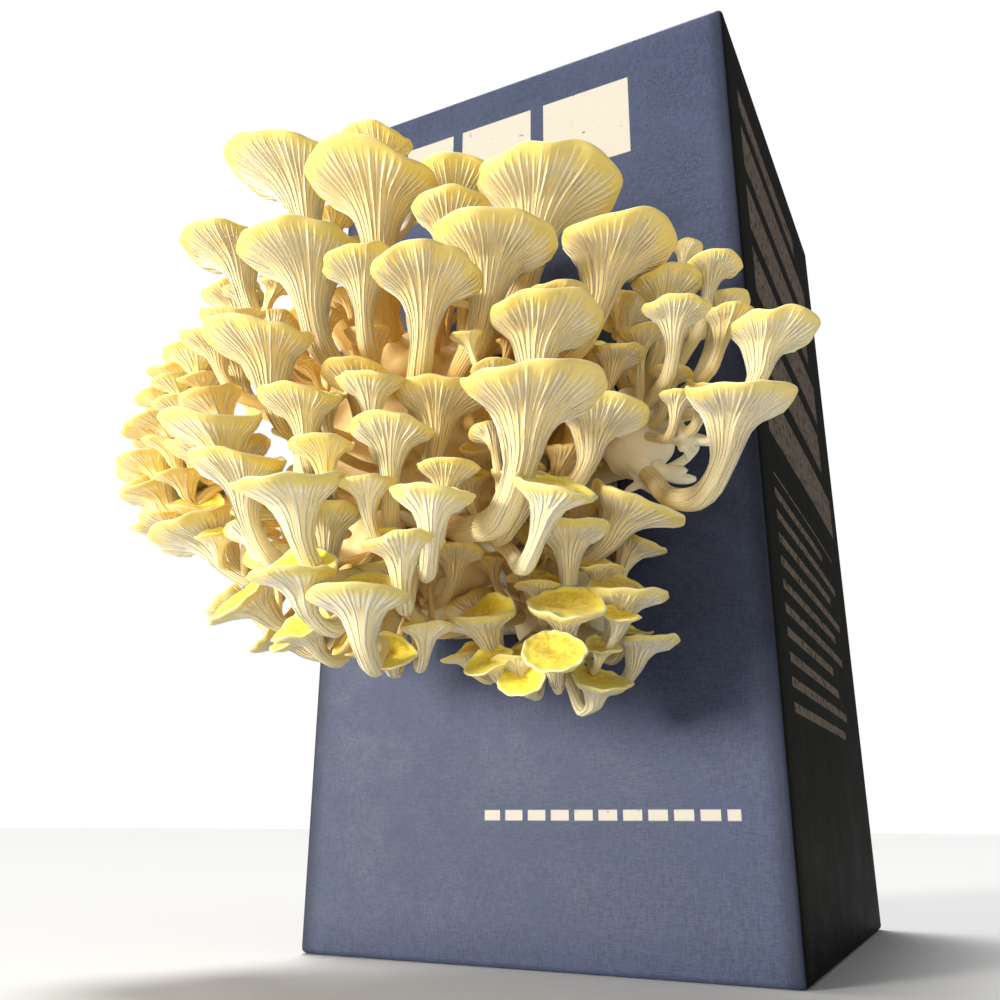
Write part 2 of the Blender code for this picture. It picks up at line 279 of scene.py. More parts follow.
def mark(mesh, title, values):
    """Adds a named colour layer with one colour a point."""
    layer = mesh.color_attributes.new(title, "FLOAT_COLOR", "POINT")
    flat = np.ones((len(values), 4), np.float32)
    flat[:, :3] = values
    layer.data.foreach_set("color", flat.ravel())


# ---------------------------------------------------------------- materials


class Finish:
    """A material's nodes, added one at a time. Any value may be a number, a colour or a socket."""

    def __init__(self, name):
        self.made = bpy.data.materials.new(name)
        self.made.use_nodes = True
        self.nodes = self.made.node_tree.nodes
        self.links = self.made.node_tree.links
        self.shader = self.nodes["Principled BSDF"]
        self.place = self.node("ShaderNodeTexCoord").outputs["Object"]

    def node(self, kind, **settings):
        """A new node with these settings."""
        made = self.nodes.new(kind)
        for key, value in settings.items():
            setattr(made, key, value)
        return made

    def put(self, socket, value):
        """Links a socket to the input, or sets the input to a value."""
        if isinstance(value, bpy.types.NodeSocket):
            self.links.new(value, socket)
        elif socket.type == "RGBA":
            socket.default_value = (*value, 1) if len(value) == 3 else value
        else:
            socket.default_value = value

    def set(self, **values):
        """Sets inputs of the shader, named with _ for each space."""
        for key, value in values.items():
            self.put(self.shader.inputs[key.replace("_", " ")], value)

    def mark(self, title):
        """Red, green and blue of a colour layer."""
        parts = self.node("ShaderNodeSeparateColor")
        self.put(parts.inputs[0], self.node("ShaderNodeVertexColor", layer_name=title).outputs["Color"])
        return parts.outputs

    def ways(self):
        """Number of the gill, and depth below the rim."""
        parts = self.node("ShaderNodeSeparateXYZ")
        self.put(parts.inputs[0], self.node("ShaderNodeUVMap", uv_map="ways").outputs[0])
        return parts.outputs

    def axes(self):
        """Place on the piece: x, y and z."""
        parts = self.node("ShaderNodeSeparateXYZ")
        self.put(parts.inputs[0], self.place)
        return parts.outputs

    def stretch(self, x, y, z):
        """Place on the piece with its axes scaled."""
        made = self.node("ShaderNodeMapping")
        self.put(made.inputs["Vector"], self.place)
        made.inputs["Scale"].default_value = (x, y, z)
        return made.outputs[0]

    def noise(self, scale, detail=3, rough=0.5, at=None, warp=0):
        """Cloudy noise with about scale clouds to the metre."""
        made = self.node("ShaderNodeTexNoise")
        self.put(made.inputs["Vector"], at or self.place)
        made.inputs["Scale"].default_value = scale
        made.inputs["Detail"].default_value = detail
        made.inputs["Roughness"].default_value = rough
        made.inputs["Distortion"].default_value = warp
        return made.outputs["Fac"]

    def cells(self, scale):
        """Distance from the middle of the nearest of scattered cells."""
        made = self.node("ShaderNodeTexVoronoi")
        self.put(made.inputs["Vector"], self.place)
        made.inputs["Scale"].default_value = scale
        return made.outputs["Distance"]

    def span(self, value, low, high, to_low=0.0, to_high=1.0):
        """A smooth change from to_low to to_high as the value goes from low to high."""
        made = self.node("ShaderNodeMapRange", interpolation_type="SMOOTHSTEP")
        self.put(made.inputs["Value"], value)
        made.inputs["From Min"].default_value = low
        made.inputs["From Max"].default_value = high
        made.inputs["To Min"].default_value = to_low
        made.inputs["To Max"].default_value = to_high
        return made.outputs[0]

    def math(self, operation, first, second=0):
        """One sum on one or two values."""
        made = self.node("ShaderNodeMath", operation=operation)
        self.put(made.inputs[0], first)
        self.put(made.inputs[1], second)
        return made.outputs[0]

    def times(self, first, second):
        """One value times the other."""
        return self.math("MULTIPLY", first, second)

    def plus(self, first, second):
        """One value and the other together."""
        return self.math("ADD", first, second)

    def most(self, first, second):
        """The larger of two values."""
        return self.math("MAXIMUM", first, second)

    def mix(self, share, first, second, blend="MIX"):
        """The first colour at a share of 0, and the second at 1."""
        made = self.node("ShaderNodeMix", data_type="RGBA", blend_type=blend)
        self.put(made.inputs[0], share)
        self.put(made.inputs[6], first)
        self.put(made.inputs[7], second)
        return made.outputs[2]

    def bump(self, height, strength, distance, normal=None):
        """A normal bent by a height, on top of another one."""
        made = self.node("ShaderNodeBump")
        made.inputs["Strength"].default_value = strength
        made.inputs["Distance"].default_value = distance
        self.put(made.inputs["Height"], height)
        if normal:
            self.put(made.inputs["Normal"], normal)
        return made.outputs[0]

    def inside(self, value, low, high, soft):
        """1 where the value lies between low and high."""
        above = self.span(value, low - soft, low + soft)
        return self.times(above, self.span(value, high - soft, high + soft, 1, 0))


def flesh_finish(look):
    """Cream flesh: pale gills over warm valleys that are partly painted shade, yellow-green band, yellow
    top, and a painted amber glow and shade deep in the flush.
    """
    paint = Finish("flesh_skin")
    stands, band, top = paint.mark("skin")[:3]
    warmth, depth, chance = paint.mark("tone")[:3]
    turn, below = paint.ways()[:2]
    cloud = paint.noise(90, 3, 0.6)
    fibres = paint.noise(520, 3, 0.6, paint.stretch(1, 1, 0.2))

    # Gills: a crisp line along each one, and a faint one between them near the rim.
    line = paint.math("ABSOLUTE", paint.math("COSINE", paint.times(turn, math.pi)))
    between = paint.math("ABSOLUTE", paint.math("SINE", paint.times(turn, math.pi)))
    fine = paint.times(paint.math("POWER", between, 6), paint.span(below, 0.12, 0.4, 0.55, 0))
    gill = paint.most(paint.math("POWER", line, 4), fine)
    gill = paint.times(gill, paint.math("MINIMUM", paint.times(stands, 1.3), 1))
    gill = paint.times(gill, paint.span(top, 0, 1, 1, 0))
    # Golden valleys between the gills: partly the flesh's own tone, partly painted shade in the recesses
    # and, through depth, deep in the flush.
    golden = paint.plus(paint.times(warmth, 0.75), paint.times(depth, 0.35))
    valley = paint.mix(golden, look.pale, look.valley)
    ridge = paint.mix(paint.times(golden, 0.45), look.ridge, look.valley)
    under = paint.mix(paint.span(gill, 0.05, 0.7), valley, ridge)
    under = paint.mix(paint.span(fibres, 0.35, 0.75, 0.0, 0.15), under, ridge)
    bare = paint.mix(paint.times(golden, 0.6), look.band, look.valley)
    banded = paint.mix(paint.times(band, paint.span(cloud, 0.2, 0.8, 0.7, 1.0)), under, bare)

    # The cap's top: pale rounded margin, yellow, and an amber granular middle.
    grain = paint.noise(900, 4, 0.7)
    yellow = paint.mix(paint.span(cloud, 0.4, 0.8), look.cap, paint.mix(0.5, look.cap, look.margin))
    speckled = paint.mix(paint.span(grain, 0.42, 0.62), yellow, look.centre)
    reach = paint.plus(stands, paint.span(cloud, 0.2, 0.8, -0.2, 0.2))
    face = paint.mix(paint.span(reach, 0.3, 0.8), yellow, speckled)
    rim = paint.mix(paint.span(stands, 0.1, 0.3), look.margin, face)
    colour_all = paint.mix(top, banded, rim)

    # Deep in the flush a painted amber glow and shade: light that comes through the flesh and shade between
    # the caps, multiplied into the colour.
    deep = paint.times(depth, paint.span(cloud, 0.25, 0.75, 0.75, 1.0))
    flesh_with_painted_glow = paint.mix(deep, colour_all, paint.mix(1.0, colour_all, look.amber, "MULTIPLY"))
    shade = paint.mix(paint.span(chance, 0, 1, 0.0, 0.12), flesh_with_painted_glow, look.valley)
    paint.set(Base_Color=shade, Roughness=paint.span(cloud, 0.2, 0.8, 0.40, 0.55))
    paint.set(Subsurface_Weight=0.12, Subsurface_Scale=1.2 * MM, Subsurface_Radius=(1.0, 0.6, 0.25))
    paint.set(Specular_IOR_Level=0.4, Sheen_Weight=0.06, Sheen_Roughness=0.5)
    ribbed = paint.bump(gill, 1.0, 0.5 * MM, paint.bump(fibres, 0.3, 0.12 * MM))
    paint.set(Normal=paint.bump(paint.times(grain, top), 0.4, 0.25 * MM, ribbed))
    return paint.made


def stems_finish(look):
    """White-cream joined stems, granular all over, that turn amber in patches with a painted glow and shade
    where they lie deep in the flush.
    """
    paint = Finish("stem_skin")
    depth = paint.mark("tone")[1]
    cloud = paint.noise(70, 4, 0.6)
    threads = paint.noise(260, 4, 0.65, paint.stretch(1, 0.35, 1))
    pale = paint.mix(paint.span(threads, 0.3, 0.7), paint.mix(0.25, look.stem, look.valley), look.stem)
    # Painted amber glow and shade, in patches, deep in the flush.
    painted_deep_glow = paint.times(depth, paint.span(cloud, 0.3, 0.7, 0.7, 1.0))
    paint.set(Base_Color=paint.mix(painted_deep_glow, pale, paint.mix(1.0, pale, look.amber, "MULTIPLY")))
    paint.set(Roughness=paint.span(threads, 0.2, 0.8, 0.5, 0.75))
    paint.set(Subsurface_Weight=0.3, Subsurface_Scale=3 * MM, Subsurface_Radius=(1.0, 0.5, 0.25))
    paint.set(Normal=paint.bump(threads, 0.5, 0.5 * MM, paint.bump(cloud, 0.6, 1.2 * MM)))
    return paint.made


def print_finish(look):
    """Navy print with a linen-like mottle, plain bars on the front and worn ones on the narrow sides."""
    paint = Finish("printed_board")
    x, y, z = paint.axes()
    facing = paint.node("ShaderNodeSeparateXYZ")
    paint.put(facing.inputs[0], paint.node("ShaderNodeNewGeometry").outputs["Normal"])
    on_side = paint.span(paint.math("ABSOLUTE", facing.outputs[0]), 0.5, 0.75)
    on_front = paint.span(facing.outputs[1], -0.9, -0.6, 1, 0)

    # Navy with a weave along and across, a mottle, and painted shade along the creases at the corners.
    along, across = paint.stretch(1, 1, 6), paint.stretch(6, 6, 1)
    weave = paint.plus(paint.noise(500, 2, 0.7, along), paint.noise(500, 2, 0.7, across))
    mottle = paint.noise(55, 5, 0.7)
    wear = paint.noise(320, 5, 0.75)
    navy = paint.mix(paint.span(weave, 0.75, 1.25), shaded(look.board, 0.72), shaded(look.board, 1.25))
    navy = paint.mix(paint.span(mottle, 0.35, 0.7, 0, 0.5), navy, shaded(look.board, 1.3))
    half = CARTON_HIGH.x
    # Painted shade: the navy darkens over the last 7 mm to 1 mm before each corner crease.
    painted_corner_shade = paint.span(paint.math("ABSOLUTE", x), half - 7 * MM, half - 1 * MM)
    navy = paint.mix(paint.times(painted_corner_shade, 0.75), navy, shaded(look.board, 0.32))

    def block(left, right, bottom, top):
        """1 inside a plain block of ink. In mm."""
        wide = paint.inside(x, left * MM, right * MM, 0.2 * MM)
        return paint.times(wide, paint.inside(z, bottom * MM, top * MM, 0.2 * MM))

    # Three plain blocks above, and a row of dashes below.
    blocks = paint.most(block(-48, -28, 253, 284), block(-24, 4, 253, 284))
    blocks = paint.most(blocks, block(9, 41, 253, 284))
    dash = paint.math("FRACT", paint.math("DIVIDE", x, 7.1 * MM))
    dashes = paint.times(block(-12, 62, 38.6, 41.4), paint.span(dash, 0.22, 0.26))
    printed = paint.times(paint.most(blocks, dashes), on_front)
    chipped = paint.times(printed, paint.span(wear, 0.28, 0.36))
    front = paint.mix(chipped, navy, look.ink)

    # Rows of plain bars on the narrow sides, broad above and fine below, worn through in places.
    def rows(pitch, gap, low, high, near, far):
        """Bars in rows of one pitch, each row as long as chance has it."""
        level = paint.math("DIVIDE", z, pitch)
        length = paint.node("ShaderNodeTexWhiteNoise", noise_dimensions="1D")
        paint.put(length.inputs["W"], paint.math("FLOOR", level))
        reach = paint.span(length.outputs["Value"], 0, 1, far * 0.35, far)
        run = paint.times(paint.span(y, near - 0.2 * MM, near + 0.2 * MM), paint.math("LESS_THAN", y, reach))
        shown = paint.times(paint.math("GREATER_THAN", paint.math("FRACT", level), gap), run)
        return paint.times(shown, paint.inside(z, low, high, 0.1 * MM))

    broad = rows(24 * MM, 0.3, 150 * MM, 280 * MM, -66 * MM, 66 * MM)
    fine = rows(7 * MM, 0.6, 66 * MM, 138 * MM, -66 * MM, 52 * MM)
    bars = paint.times(paint.most(broad, fine), paint.span(wear, 0.36, 0.52))
    dusty = paint.mix(paint.span(mottle, 0.4, 0.7, 0, 0.5), look.side, shaded(look.side, 1.7))
    side = paint.mix(bars, dusty, look.worn_ink)
    paint.set(Base_Color=paint.mix(on_side, front, side))
    paint.set(Roughness=paint.span(mottle, 0.2, 0.8, 0.5, 0.65))
    paint.set(Specular_IOR_Level=paint.span(on_side, 0, 1, 0.25, 0.015))
    grain = paint.bump(weave, 0.22, 0.08 * MM)
    paint.set(Normal=paint.bump(paint.noise(18, 3, 0.5), 0.2, 1.2 * MM, grain))
    return paint.made


def core_finish(look):
    """Unprinted board: cut edges and the inside."""
    paint = Finish("board_core")
    fibres = paint.noise(700, 4, 0.7, paint.stretch(1, 1, 5))
    flecks = paint.cells(900)
    base = paint.mix(paint.span(fibres, 0.3, 0.7), shaded(look.core, 0.8), shaded(look.core, 1.15))
    paint.set(Base_Color=paint.mix(paint.span(flecks, 0.0, 0.2, 0.35, 0), base, (0.16, 0.12, 0.09)))
    paint.set(Roughness=paint.span(fibres, 0.2, 0.8, 0.75, 0.92))
    paint.set(Normal=paint.bump(fibres, 0.4, 0.15 * MM))
    return paint.made


def spawn_finish(look):
    """White mycelium over tan sawdust."""
    paint = Finish("spawn")
    web = paint.noise(60, 6, 0.7, warp=0.6)
    chips = paint.cells(330)
    wood = paint.mix(paint.span(chips, 0.1, 0.6), look.sawdust, shaded(look.sawdust, 0.6))
    paint.set(Base_Color=paint.mix(paint.span(web, 0.38, 0.58), wood, look.mycelium))
    paint.set(Roughness=paint.span(web, 0.3, 0.7, 0.8, 0.95))
    paint.set(Normal=paint.bump(chips, 0.5, 0.8 * MM, paint.bump(web, 0.5, 1.5 * MM)))
    return paint.made


def film_finish():
    """Clear film with a haze of damp."""
    paint = Finish("bag_film")
    haze = paint.noise(45, 4, 0.6)
    drops = paint.cells(260)
    paint.set(Base_Color=paint.mix(paint.span(haze, 0.3, 0.7), (0.86, 0.88, 0.88), (0.95, 0.96, 0.96)))
    paint.set(Roughness=paint.span(haze, 0.25, 0.75, 0.12, 0.34))
    paint.set(Transmission_Weight=0.75, IOR=1.45)
    damp = paint.bump(haze, 0.4, 1 * MM)
    paint.set(Normal=paint.bump(paint.span(drops, 0.0, 0.25, 1, 0), 0.3, 0.2 * MM, damp))
    return paint.made


def patch_finish():
    """Bonded white fibre."""
    paint = Finish("patch_fibre")
    fibres = paint.noise(800, 5, 0.75, paint.stretch(1, 4, 1))
    paint.set(Base_Color=paint.mix(paint.span(fibres, 0.3, 0.7), (0.72, 0.74, 0.73), (0.88, 0.89, 0.88)))
    paint.set(Roughness=paint.span(fibres, 0.2, 0.8, 0.8, 0.95), Sheen_Weight=0.3)
    paint.set(Normal=paint.bump(fibres, 0.6, 0.25 * MM))
    return paint.made


# ---------------------------------------------------------------- carton and what is in it


def wall(low, high, radius, steps, rows_at, holes_x):
    """Outline of a rounded rectangle seen from above, carried up through the rows: points [row, column].

    Each side is split in steps, and the front one also at holes_x."""
    outline = []
    corners = ((high.x, low.y, -90), (high.x, high.y, 0), (low.x, high.y, 90), (low.x, low.y, 180))

    def on_arc(corner, degrees):
        """The point of a rounded corner that faces that way."""
        x, y, _ = corner
        middle = np.array((x - math.copysign(radius, x), y - math.copysign(radius, y)))
        return middle + radius * np.array((math.cos(math.radians(degrees)), math.sin(math.radians(degrees))))

    for number, corner in enumerate(corners):
        start = corner[2]
        outline += [on_arc(corner, start + 90 * k / 4) for k in range(5)]
        begin, end = outline[-1], on_arc(corners[(number + 1) % 4], start + 90)
        shares = {k / steps for k in range(1, steps)}
        if number == 3:
            shares |= {(hole - begin[0]) / (end[0] - begin[0]) for hole in holes_x}
        outline += [begin + (end - begin) * share for share in sorted(shares)]
    return np.array([[(*point, z) for point in outline] for z in rows_at])


def skin_faces(rows, columns, keep=None):
    """Quads of a grid that closes round. Keep says which row and column stay."""
    faces = []
    for row in range(rows - 1):
        for column in range(columns):
            if keep is not None and not keep(row, column):
                continue
            after = (column + 1) % columns
            faces.append((
                row * columns + column, row * columns + after,
                (row + 1) * columns + after, (row + 1) * columns + column,
            ))
    return faces


def outside_window(grid, margin=0.0):
    """For skin_faces: keeps the faces that aren't in the window, which is made wider by margin."""
    columns = grid.shape[1]
    hair = 0.01 * MM

    def kept(row, column):
        x, y, z = (grid[row, column] + grid[row, (column + 1) % columns] + grid[row + 1, column]) / 3
        wide = WINDOW_LEFT - margin - hair < x < WINDOW_RIGHT + margin + hair
        high = WINDOW_LOW - margin - hair < z < WINDOW_HIGH + margin + hair
        return not (y < FRONT + 5 * MM and wide and high)

    return kept


def swell(grid, low, high, height, seed):
    """Pushes the panels out between their creases, with faint dents."""
    share = (grid - np.array(low)) / (np.array(high) - np.array(low))
    bow = np.sin(np.pi * np.clip(share, 0, 1))
    lift = height * (bow[..., 2] + 1.2 * ripples(grid, luck(seed), 28, 14))
    moved = grid.copy()
    crease_fade, fold_fade = 16 * MM, 12 * MM
    for axis, other in ((0, 1), (1, 0)):
        flat_low = np.abs(grid[..., axis] - low[axis]) < 1e-6
        flat_high = np.abs(grid[..., axis] - high[axis]) < 1e-6
        near = np.minimum(grid[..., other] - low[other], high[other] - grid[..., other])
        fade = smooth_step(0, crease_fade, near) * smooth_step(0, fold_fade, high[2] - grid[..., 2])
        fade = fade * smooth_step(0, fold_fade, grid[..., 2] - low[2]) * bow[..., other]
        moved[..., axis] += lift * fade * (flat_high * 1.0 - flat_low * 1.0)
    return moved


def slab(name, low, high, finish, round_by):
    """A block with rounded edges."""
    shape = bmesh.new()
    bmesh.ops.create_cube(shape, size=1)
    for point in shape.verts:
        point.co = [low[k] + (point.co[k] + 0.5) * (high[k] - low[k]) for k in range(3)]
    bmesh.ops.bevel(shape, geom=shape.edges[:], offset=round_by, segments=3, affect="EDGES", profile=0.5)
    mesh = bpy.data.meshes.new(name)
    shape.to_mesh(mesh)
    shape.free()
    mesh.materials.append(finish)
    return stand(name, mesh)


def make_carton(look):
    """Walls with the window, lid, two bottom flaps and the edge of the glue flap."""
    outside, core = print_finish(look), core_finish(look)
    low, high = Vector(CARTON_LOW), Vector(CARTON_HIGH)
    heights = set(np.linspace(low.z + CREASE, high.z - CREASE, 30).round(5)) | {WINDOW_LOW, WINDOW_HIGH}
    grid = wall(low, high, CREASE, 24, sorted(heights), (WINDOW_LEFT, WINDOW_RIGHT))
    grid = swell(grid, low, high, look.bulge, "carton")
    centre = np.array((low + high) / 2)[:2]

    def turned(row, z, inset):
        """The wall's outline drawn in where it turns round the fold of the lid or the bottom."""
        ring = row.copy()
        ring[:, :2] = centre + (row[:, :2] - centre) * (1 - inset / (high.x - centre[0]))
        ring[:, 2] = z
        return ring

    turns = [(1 - math.sin(angle), 1 - math.cos(angle)) for angle in np.radians((0, 30, 60))]
    foot = [turned(grid[0], low.z + CREASE * rise, CREASE * inset) for inset, rise in turns]
    head = [turned(grid[-1], high.z - CREASE * rise, CREASE * inset) for inset, rise in turns[::-1]]
    grid = np.array([*foot, *grid, *head])
    faces = skin_faces(*grid.shape[:2], outside_window(grid))
    walls = add("carton_walls", grid.reshape(-1, 3), faces, [outside, core])
    board = walls.modifiers.new("board", "SOLIDIFY")
    board.thickness = BOARD
    board.offset = -1
    board.material_offset = 1
    board.material_offset_rim = 1
    settle_modifiers(walls)
    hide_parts("carton")

    inset = CREASE + 0.1 * MM
    left, right = low.x + inset, high.x - inset
    front, back = low.y + inset, high.y - inset
    middle, seam = (low.y + high.y) / 2, 0.3 * MM
    lap, lap_wide, lap_end = 0.35 * MM, 14 * MM, 6 * MM  # of the glue flap's edge, at a back corner
    boards = (
        ("carton_lid", (left, front, high.z - BOARD), (right, back, high.z), 0.6),
        ("carton_bottom_front", (left, front, low.z), (right, middle - seam, low.z + BOARD), 0.5),
        ("carton_bottom_back", (left, middle + seam, low.z), (right, back, low.z + BOARD), 0.5),
        ("carton_glue_edge", (low.x - lap, high.y - lap_wide, low.z + lap_end),
         (low.x + 0.2 * MM, high.y - 1.2 * MM, high.z - lap_end), 0.12),
    )
    for name, least, most, rounding in boards:
        slab(name, least, most, outside, rounding * MM)


def make_block(look):
    """The lumpy block of spawn."""
    block = slab("spawn_block", BLOCK_LOW, BLOCK_HIGH, spawn_finish(look), 4 * MM)
    mesher = block.modifiers.new("grain", "REMESH")
    mesher.mode = "VOXEL"
    mesher.voxel_size = 3.2 * MM
    settle_modifiers(block)
    points = points_of(block.data)
    normal = unit(points - (np.array(BLOCK_LOW) + np.array(BLOCK_HIGH)) / 2)
    lumps = 1 + np.clip(3.6 * ripples(points, luck("spawn"), 130, 18), -1, 1)
    points -= normal * (look.lump * lumps)[:, None]
    block.data.vertices.foreach_set("co", points.astype(np.float32).ravel())
    block.data.shade_smooth()
    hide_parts("substrate_block")


def make_bag():
    """Clear film round the block, slit at the window and gathered to a flat fold on top."""
    low, high = Vector(BAG_LOW), Vector(BAG_HIGH)
    body_top = high.z - 8 * MM
    heights = set(np.linspace(low.z + 3 * MM, body_top - 3 * MM, 34).round(5)) | {WINDOW_LOW, WINDOW_HIGH}
    corner = Vector((high.x, high.y, body_top))
    grid = wall(low, corner, 2.4 * MM, 26, sorted(heights), (WINDOW_LEFT, WINDOW_RIGHT))
    centre = np.array((low + high) / 2)[:2]
    creases = ripples(grid, luck("bag"), (60, 60, 14), 9)
    grid[..., :2] = centre + (grid[..., :2] - centre) * (0.9965 + 0.003 * creases[..., None])

    def gathered(share, z, squeeze):
        """The outline drawn in by a share, and squeeze times as far from front to back."""
        ring = grid[-1].copy()
        ring[:, :2] = centre + (grid[-1][:, :2] - centre) * (1 - share, 1 - share * squeeze)
        ring[:, 2] = z + 0.6 * MM * np.sin(np.arange(len(ring)) * 0.9)
        return ring

    bottom = ((0.9, low.z + 0.4 * MM, 1), (0.03, low.z + 0.8 * MM, 1))
    fold = (
        (0.02, body_top - 1 * MM, 1), (0.04, body_top, 6), (0.05, body_top + 2 * MM, 12),
        (0.05, high.z - 2.6 * MM, 13), (0.08, high.z - 1.2 * MM, 11), (0.9, high.z - 1.1 * MM, 1.1),
    )
    grid = np.array([*(gathered(*ring) for ring in bottom), *grid, *(gathered(*ring) for ring in fold)])
    rows, columns = grid.shape[:2]
    faces = skin_faces(rows, columns, outside_window(grid, 1 * MM))
    faces += [tuple(range(columns))[::-1], tuple((rows - 1) * columns + k for k in range(columns))]
    bag = add("bag_film", grid.reshape(-1, 3), faces, [film_finish()])
    skin = bag.modifiers.new("film", "SOLIDIFY")
    skin.thickness = FILM
    skin.offset = -1
    settle_modifiers(bag)
    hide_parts("grow_bag")


def make_contents(look):
    """What stands in the carton."""
    make_block(look)
    make_bag()
    patch = slab("breathing_patch", PATCH_LOW, PATCH_HIGH, patch_finish(), 0.3 * MM)
    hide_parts("filter_patch")


# ---------------------------------------------------------------- mushrooms


def welded(name):
    """Points and triangles of a CAD node, with its doubled points made one."""
    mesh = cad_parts[name].data
    raw = points_of(mesh)
    _, first, index = np.unique(
        np.round(raw / (0.001 * MM)).astype(np.int64), axis=0, return_index=True, return_inverse=True
    )
    index = index.reshape(-1)
    return raw[first], [tuple(int(index[v]) for v in face.vertices) for face in mesh.polygons]


def rings_of(name):
    """A mushroom's CAD skin from the foot to the cap: (foot point, cap point), rings [ring, side, xyz]."""
    points, faces = welded(name)
    near = [set() for _ in points]
    for face in faces:
        for corner in face:
            near[corner].update(set(face) - {corner})
    sides = max(len(group) for group in near)
    for foot in [k for k, group in enumerate(near) if len(group) == sides]:
        layers, seen = [[foot]], {foot}
        while len(seen) < len(points):
            after = sorted({b for a in layers[-1] for b in near[a]} - seen)
            layers.append(after)
            seen.update(after)
        spans = [np.linalg.norm(points[row] - points[row].mean(0), axis=1).mean() for row in layers]
        if len(layers) == OUTER_RINGS + 3 and int(np.argmax(spans)) == OUTER_RINGS:
            break
    else:
        raise RuntimeError(f"{name}: its skin isn't a stack of {OUTER_RINGS + 1} rings")
    middles = [points[row].mean(0) for row in layers]
    rings = []
    for number, row in enumerate(layers[1:-1], 1):
        chain = [row[0]]
        while len(chain) < sides:
            chain.append(sorted((near[chain[-1]] & set(row)) - set(chain))[0])
        ring = points[chain] - middles[number]
        last = min(number + 1, OUTER_RINGS)
        if np.cross(ring, np.roll(ring, -1, 0)).sum(0) @ (middles[last] - middles[last - 2]) < 0:
            ring = ring[::-1]
        if rings:
            before = unit(rings[-1] - rings[-1].mean(0))
            shift = max(range(sides), key=lambda k: (np.roll(unit(ring), -k, 0) * before).sum())
            ring = np.roll(ring, -shift, 0)
        rings.append(ring + middles[number])
    return (points[layers[0][0]], points[layers[-1][0]]), np.array(rings)


def ruled_rings(foot, normal, tip, facing, width, nod):
    """Rings of a small mushroom by the rule of the big ones. Its tip is the middle of the cap's rim."""
    axis = UP * math.cos(nod) + facing * math.sin(nod)
    offset = 0.225  # how far the cap is shifted forward over its stem, as a share of its reach
    reach = width / (2 - 2 * offset)
    rim = tip - facing * reach * offset
    throat = rim - axis * width * 0.6
    span = np.linalg.norm(throat - foot)
    path = np.array((foot, foot + normal * span * 0.4, throat - axis * span * 0.4, throat))
    rows = []
    for share in (0, 0.35, 0.7, 1):
        rest = 1 - share
        point = np.array((rest**3, 3 * rest**2 * share, 3 * rest * share**2, share**3)) @ path
        along = unit(np.array((rest**2, 2 * rest * share, share**2)) @ np.diff(path, axis=0))
        rows.append((point, along, width * (0.13 + 0.05 * share), 0))
    stem, top_spread = width * 0.18, 0.55
    for drop, spread in ((0.34, 0.26), (0.14, 0.72), (0, 1)):
        rows.append((rim - axis * width * drop, axis, stem + (reach - stem) * spread, spread))
    rows.append((rim - axis * width * 0.03, axis, reach * top_spread, top_spread))
    sides = 8
    angles = np.arange(sides) * 2 * math.pi / sides
    phase = luck("".join(f"{value:.5f}" for value in tip)).uniform(0, 2 * math.pi, 3)
    side = unit(np.cross(facing, UP))
    rings = []
    for middle, along, radius, spread in rows:
        across = unit(side - along * (side @ along))
        front = np.cross(along, across)
        size = radius * (1 - spread * offset * (1 - np.cos(angles)))
        size = size * (1 + spread * 0.04 * (np.sin(3 * angles + phase[0]) + np.sin(2 * angles + phase[1])))
        lift = spread**2 * 0.045 * width * np.sin(2 * angles + phase[2])
        ring = front * np.cos(angles)[:, None] - across * np.sin(angles)[:, None]
        rings.append(middle + ring * size[:, None] + along * lift[:, None])
    return (foot, rows[-1][0] - axis * width * 0.1), np.array(rings)


def round_weights(sides, columns):
    """Carries values at a ring's sides over to more columns by their harmonics."""

    def waves(count):
        angles = np.arange(count) * 2 * math.pi / count
        rows = [np.ones(count)]
        for order in range(1, (sides - 1) // 2 + 1):
            rows += [np.cos(order * angles), np.sin(order * angles)]
        return np.array(rows).T

    return waves(columns) @ np.linalg.pinv(waves(sides))


def hermite(stations, values, slopes, at):
    """Smooth curve through values at stations with those slopes, read at other places."""
    row = np.clip(np.searchsorted(stations, at, side="right") - 1, 0, len(stations) - 2)
    length = (stations[row + 1] - stations[row])[:, None, None]
    share = (at - stations[row])[:, None, None] / length
    return (
        values[row] * (1 + 2 * share) * (1 - share) ** 2
        + slopes[row] * length * share * (1 - share) ** 2
        + values[row + 1] * share**2 * (3 - 2 * share)
        + slopes[row + 1] * length * share**2 * (share - 1)
    )


def cap_axes(outer):
    """The way the cap faces, and the way it leans."""
    lean = outer[-1].mean(0) - outer[-4].mean(0)
    axis = np.linalg.svd(outer[-1] - outer[-1].mean(0), full_matrices=False)[2][2]
    axis = axis * np.sign(axis @ lean)
    return axis, unit(lean - axis * (lean @ axis))


def smooth_run(outer, axis, sunk, rows):
    """The skin from the foot to the rim in more rows, and each row's way from the foot.

    The foot runs on by sunk into the joined stems and narrows there."""
    root = outer[0] + sunk - (outer[0] - outer[0].mean(0)) * 0.2
    outer = np.concatenate([root[None], outer])
    steps = np.linalg.norm(np.diff(outer, axis=0), axis=2).mean(1)
    stations = np.concatenate([[0], np.cumsum(steps)])
    chords = np.diff(outer, axis=0) / steps[:, None, None]
    slopes = np.empty_like(outer)
    before, after = steps[:-1, None, None], steps[1:, None, None]
    slopes[1:-1] = (chords[:-1] * after + chords[1:] * before) / (before + after)
    slopes[0] = chords[0]
    slopes[-1] = unit(axis * 0.7 + chords[-1] * 0.7)
    at = stations[-1] * (1 - (1 - np.linspace(0, 1, rows)) ** 1.3)
    return hermite(stations, outer, slopes, at), at


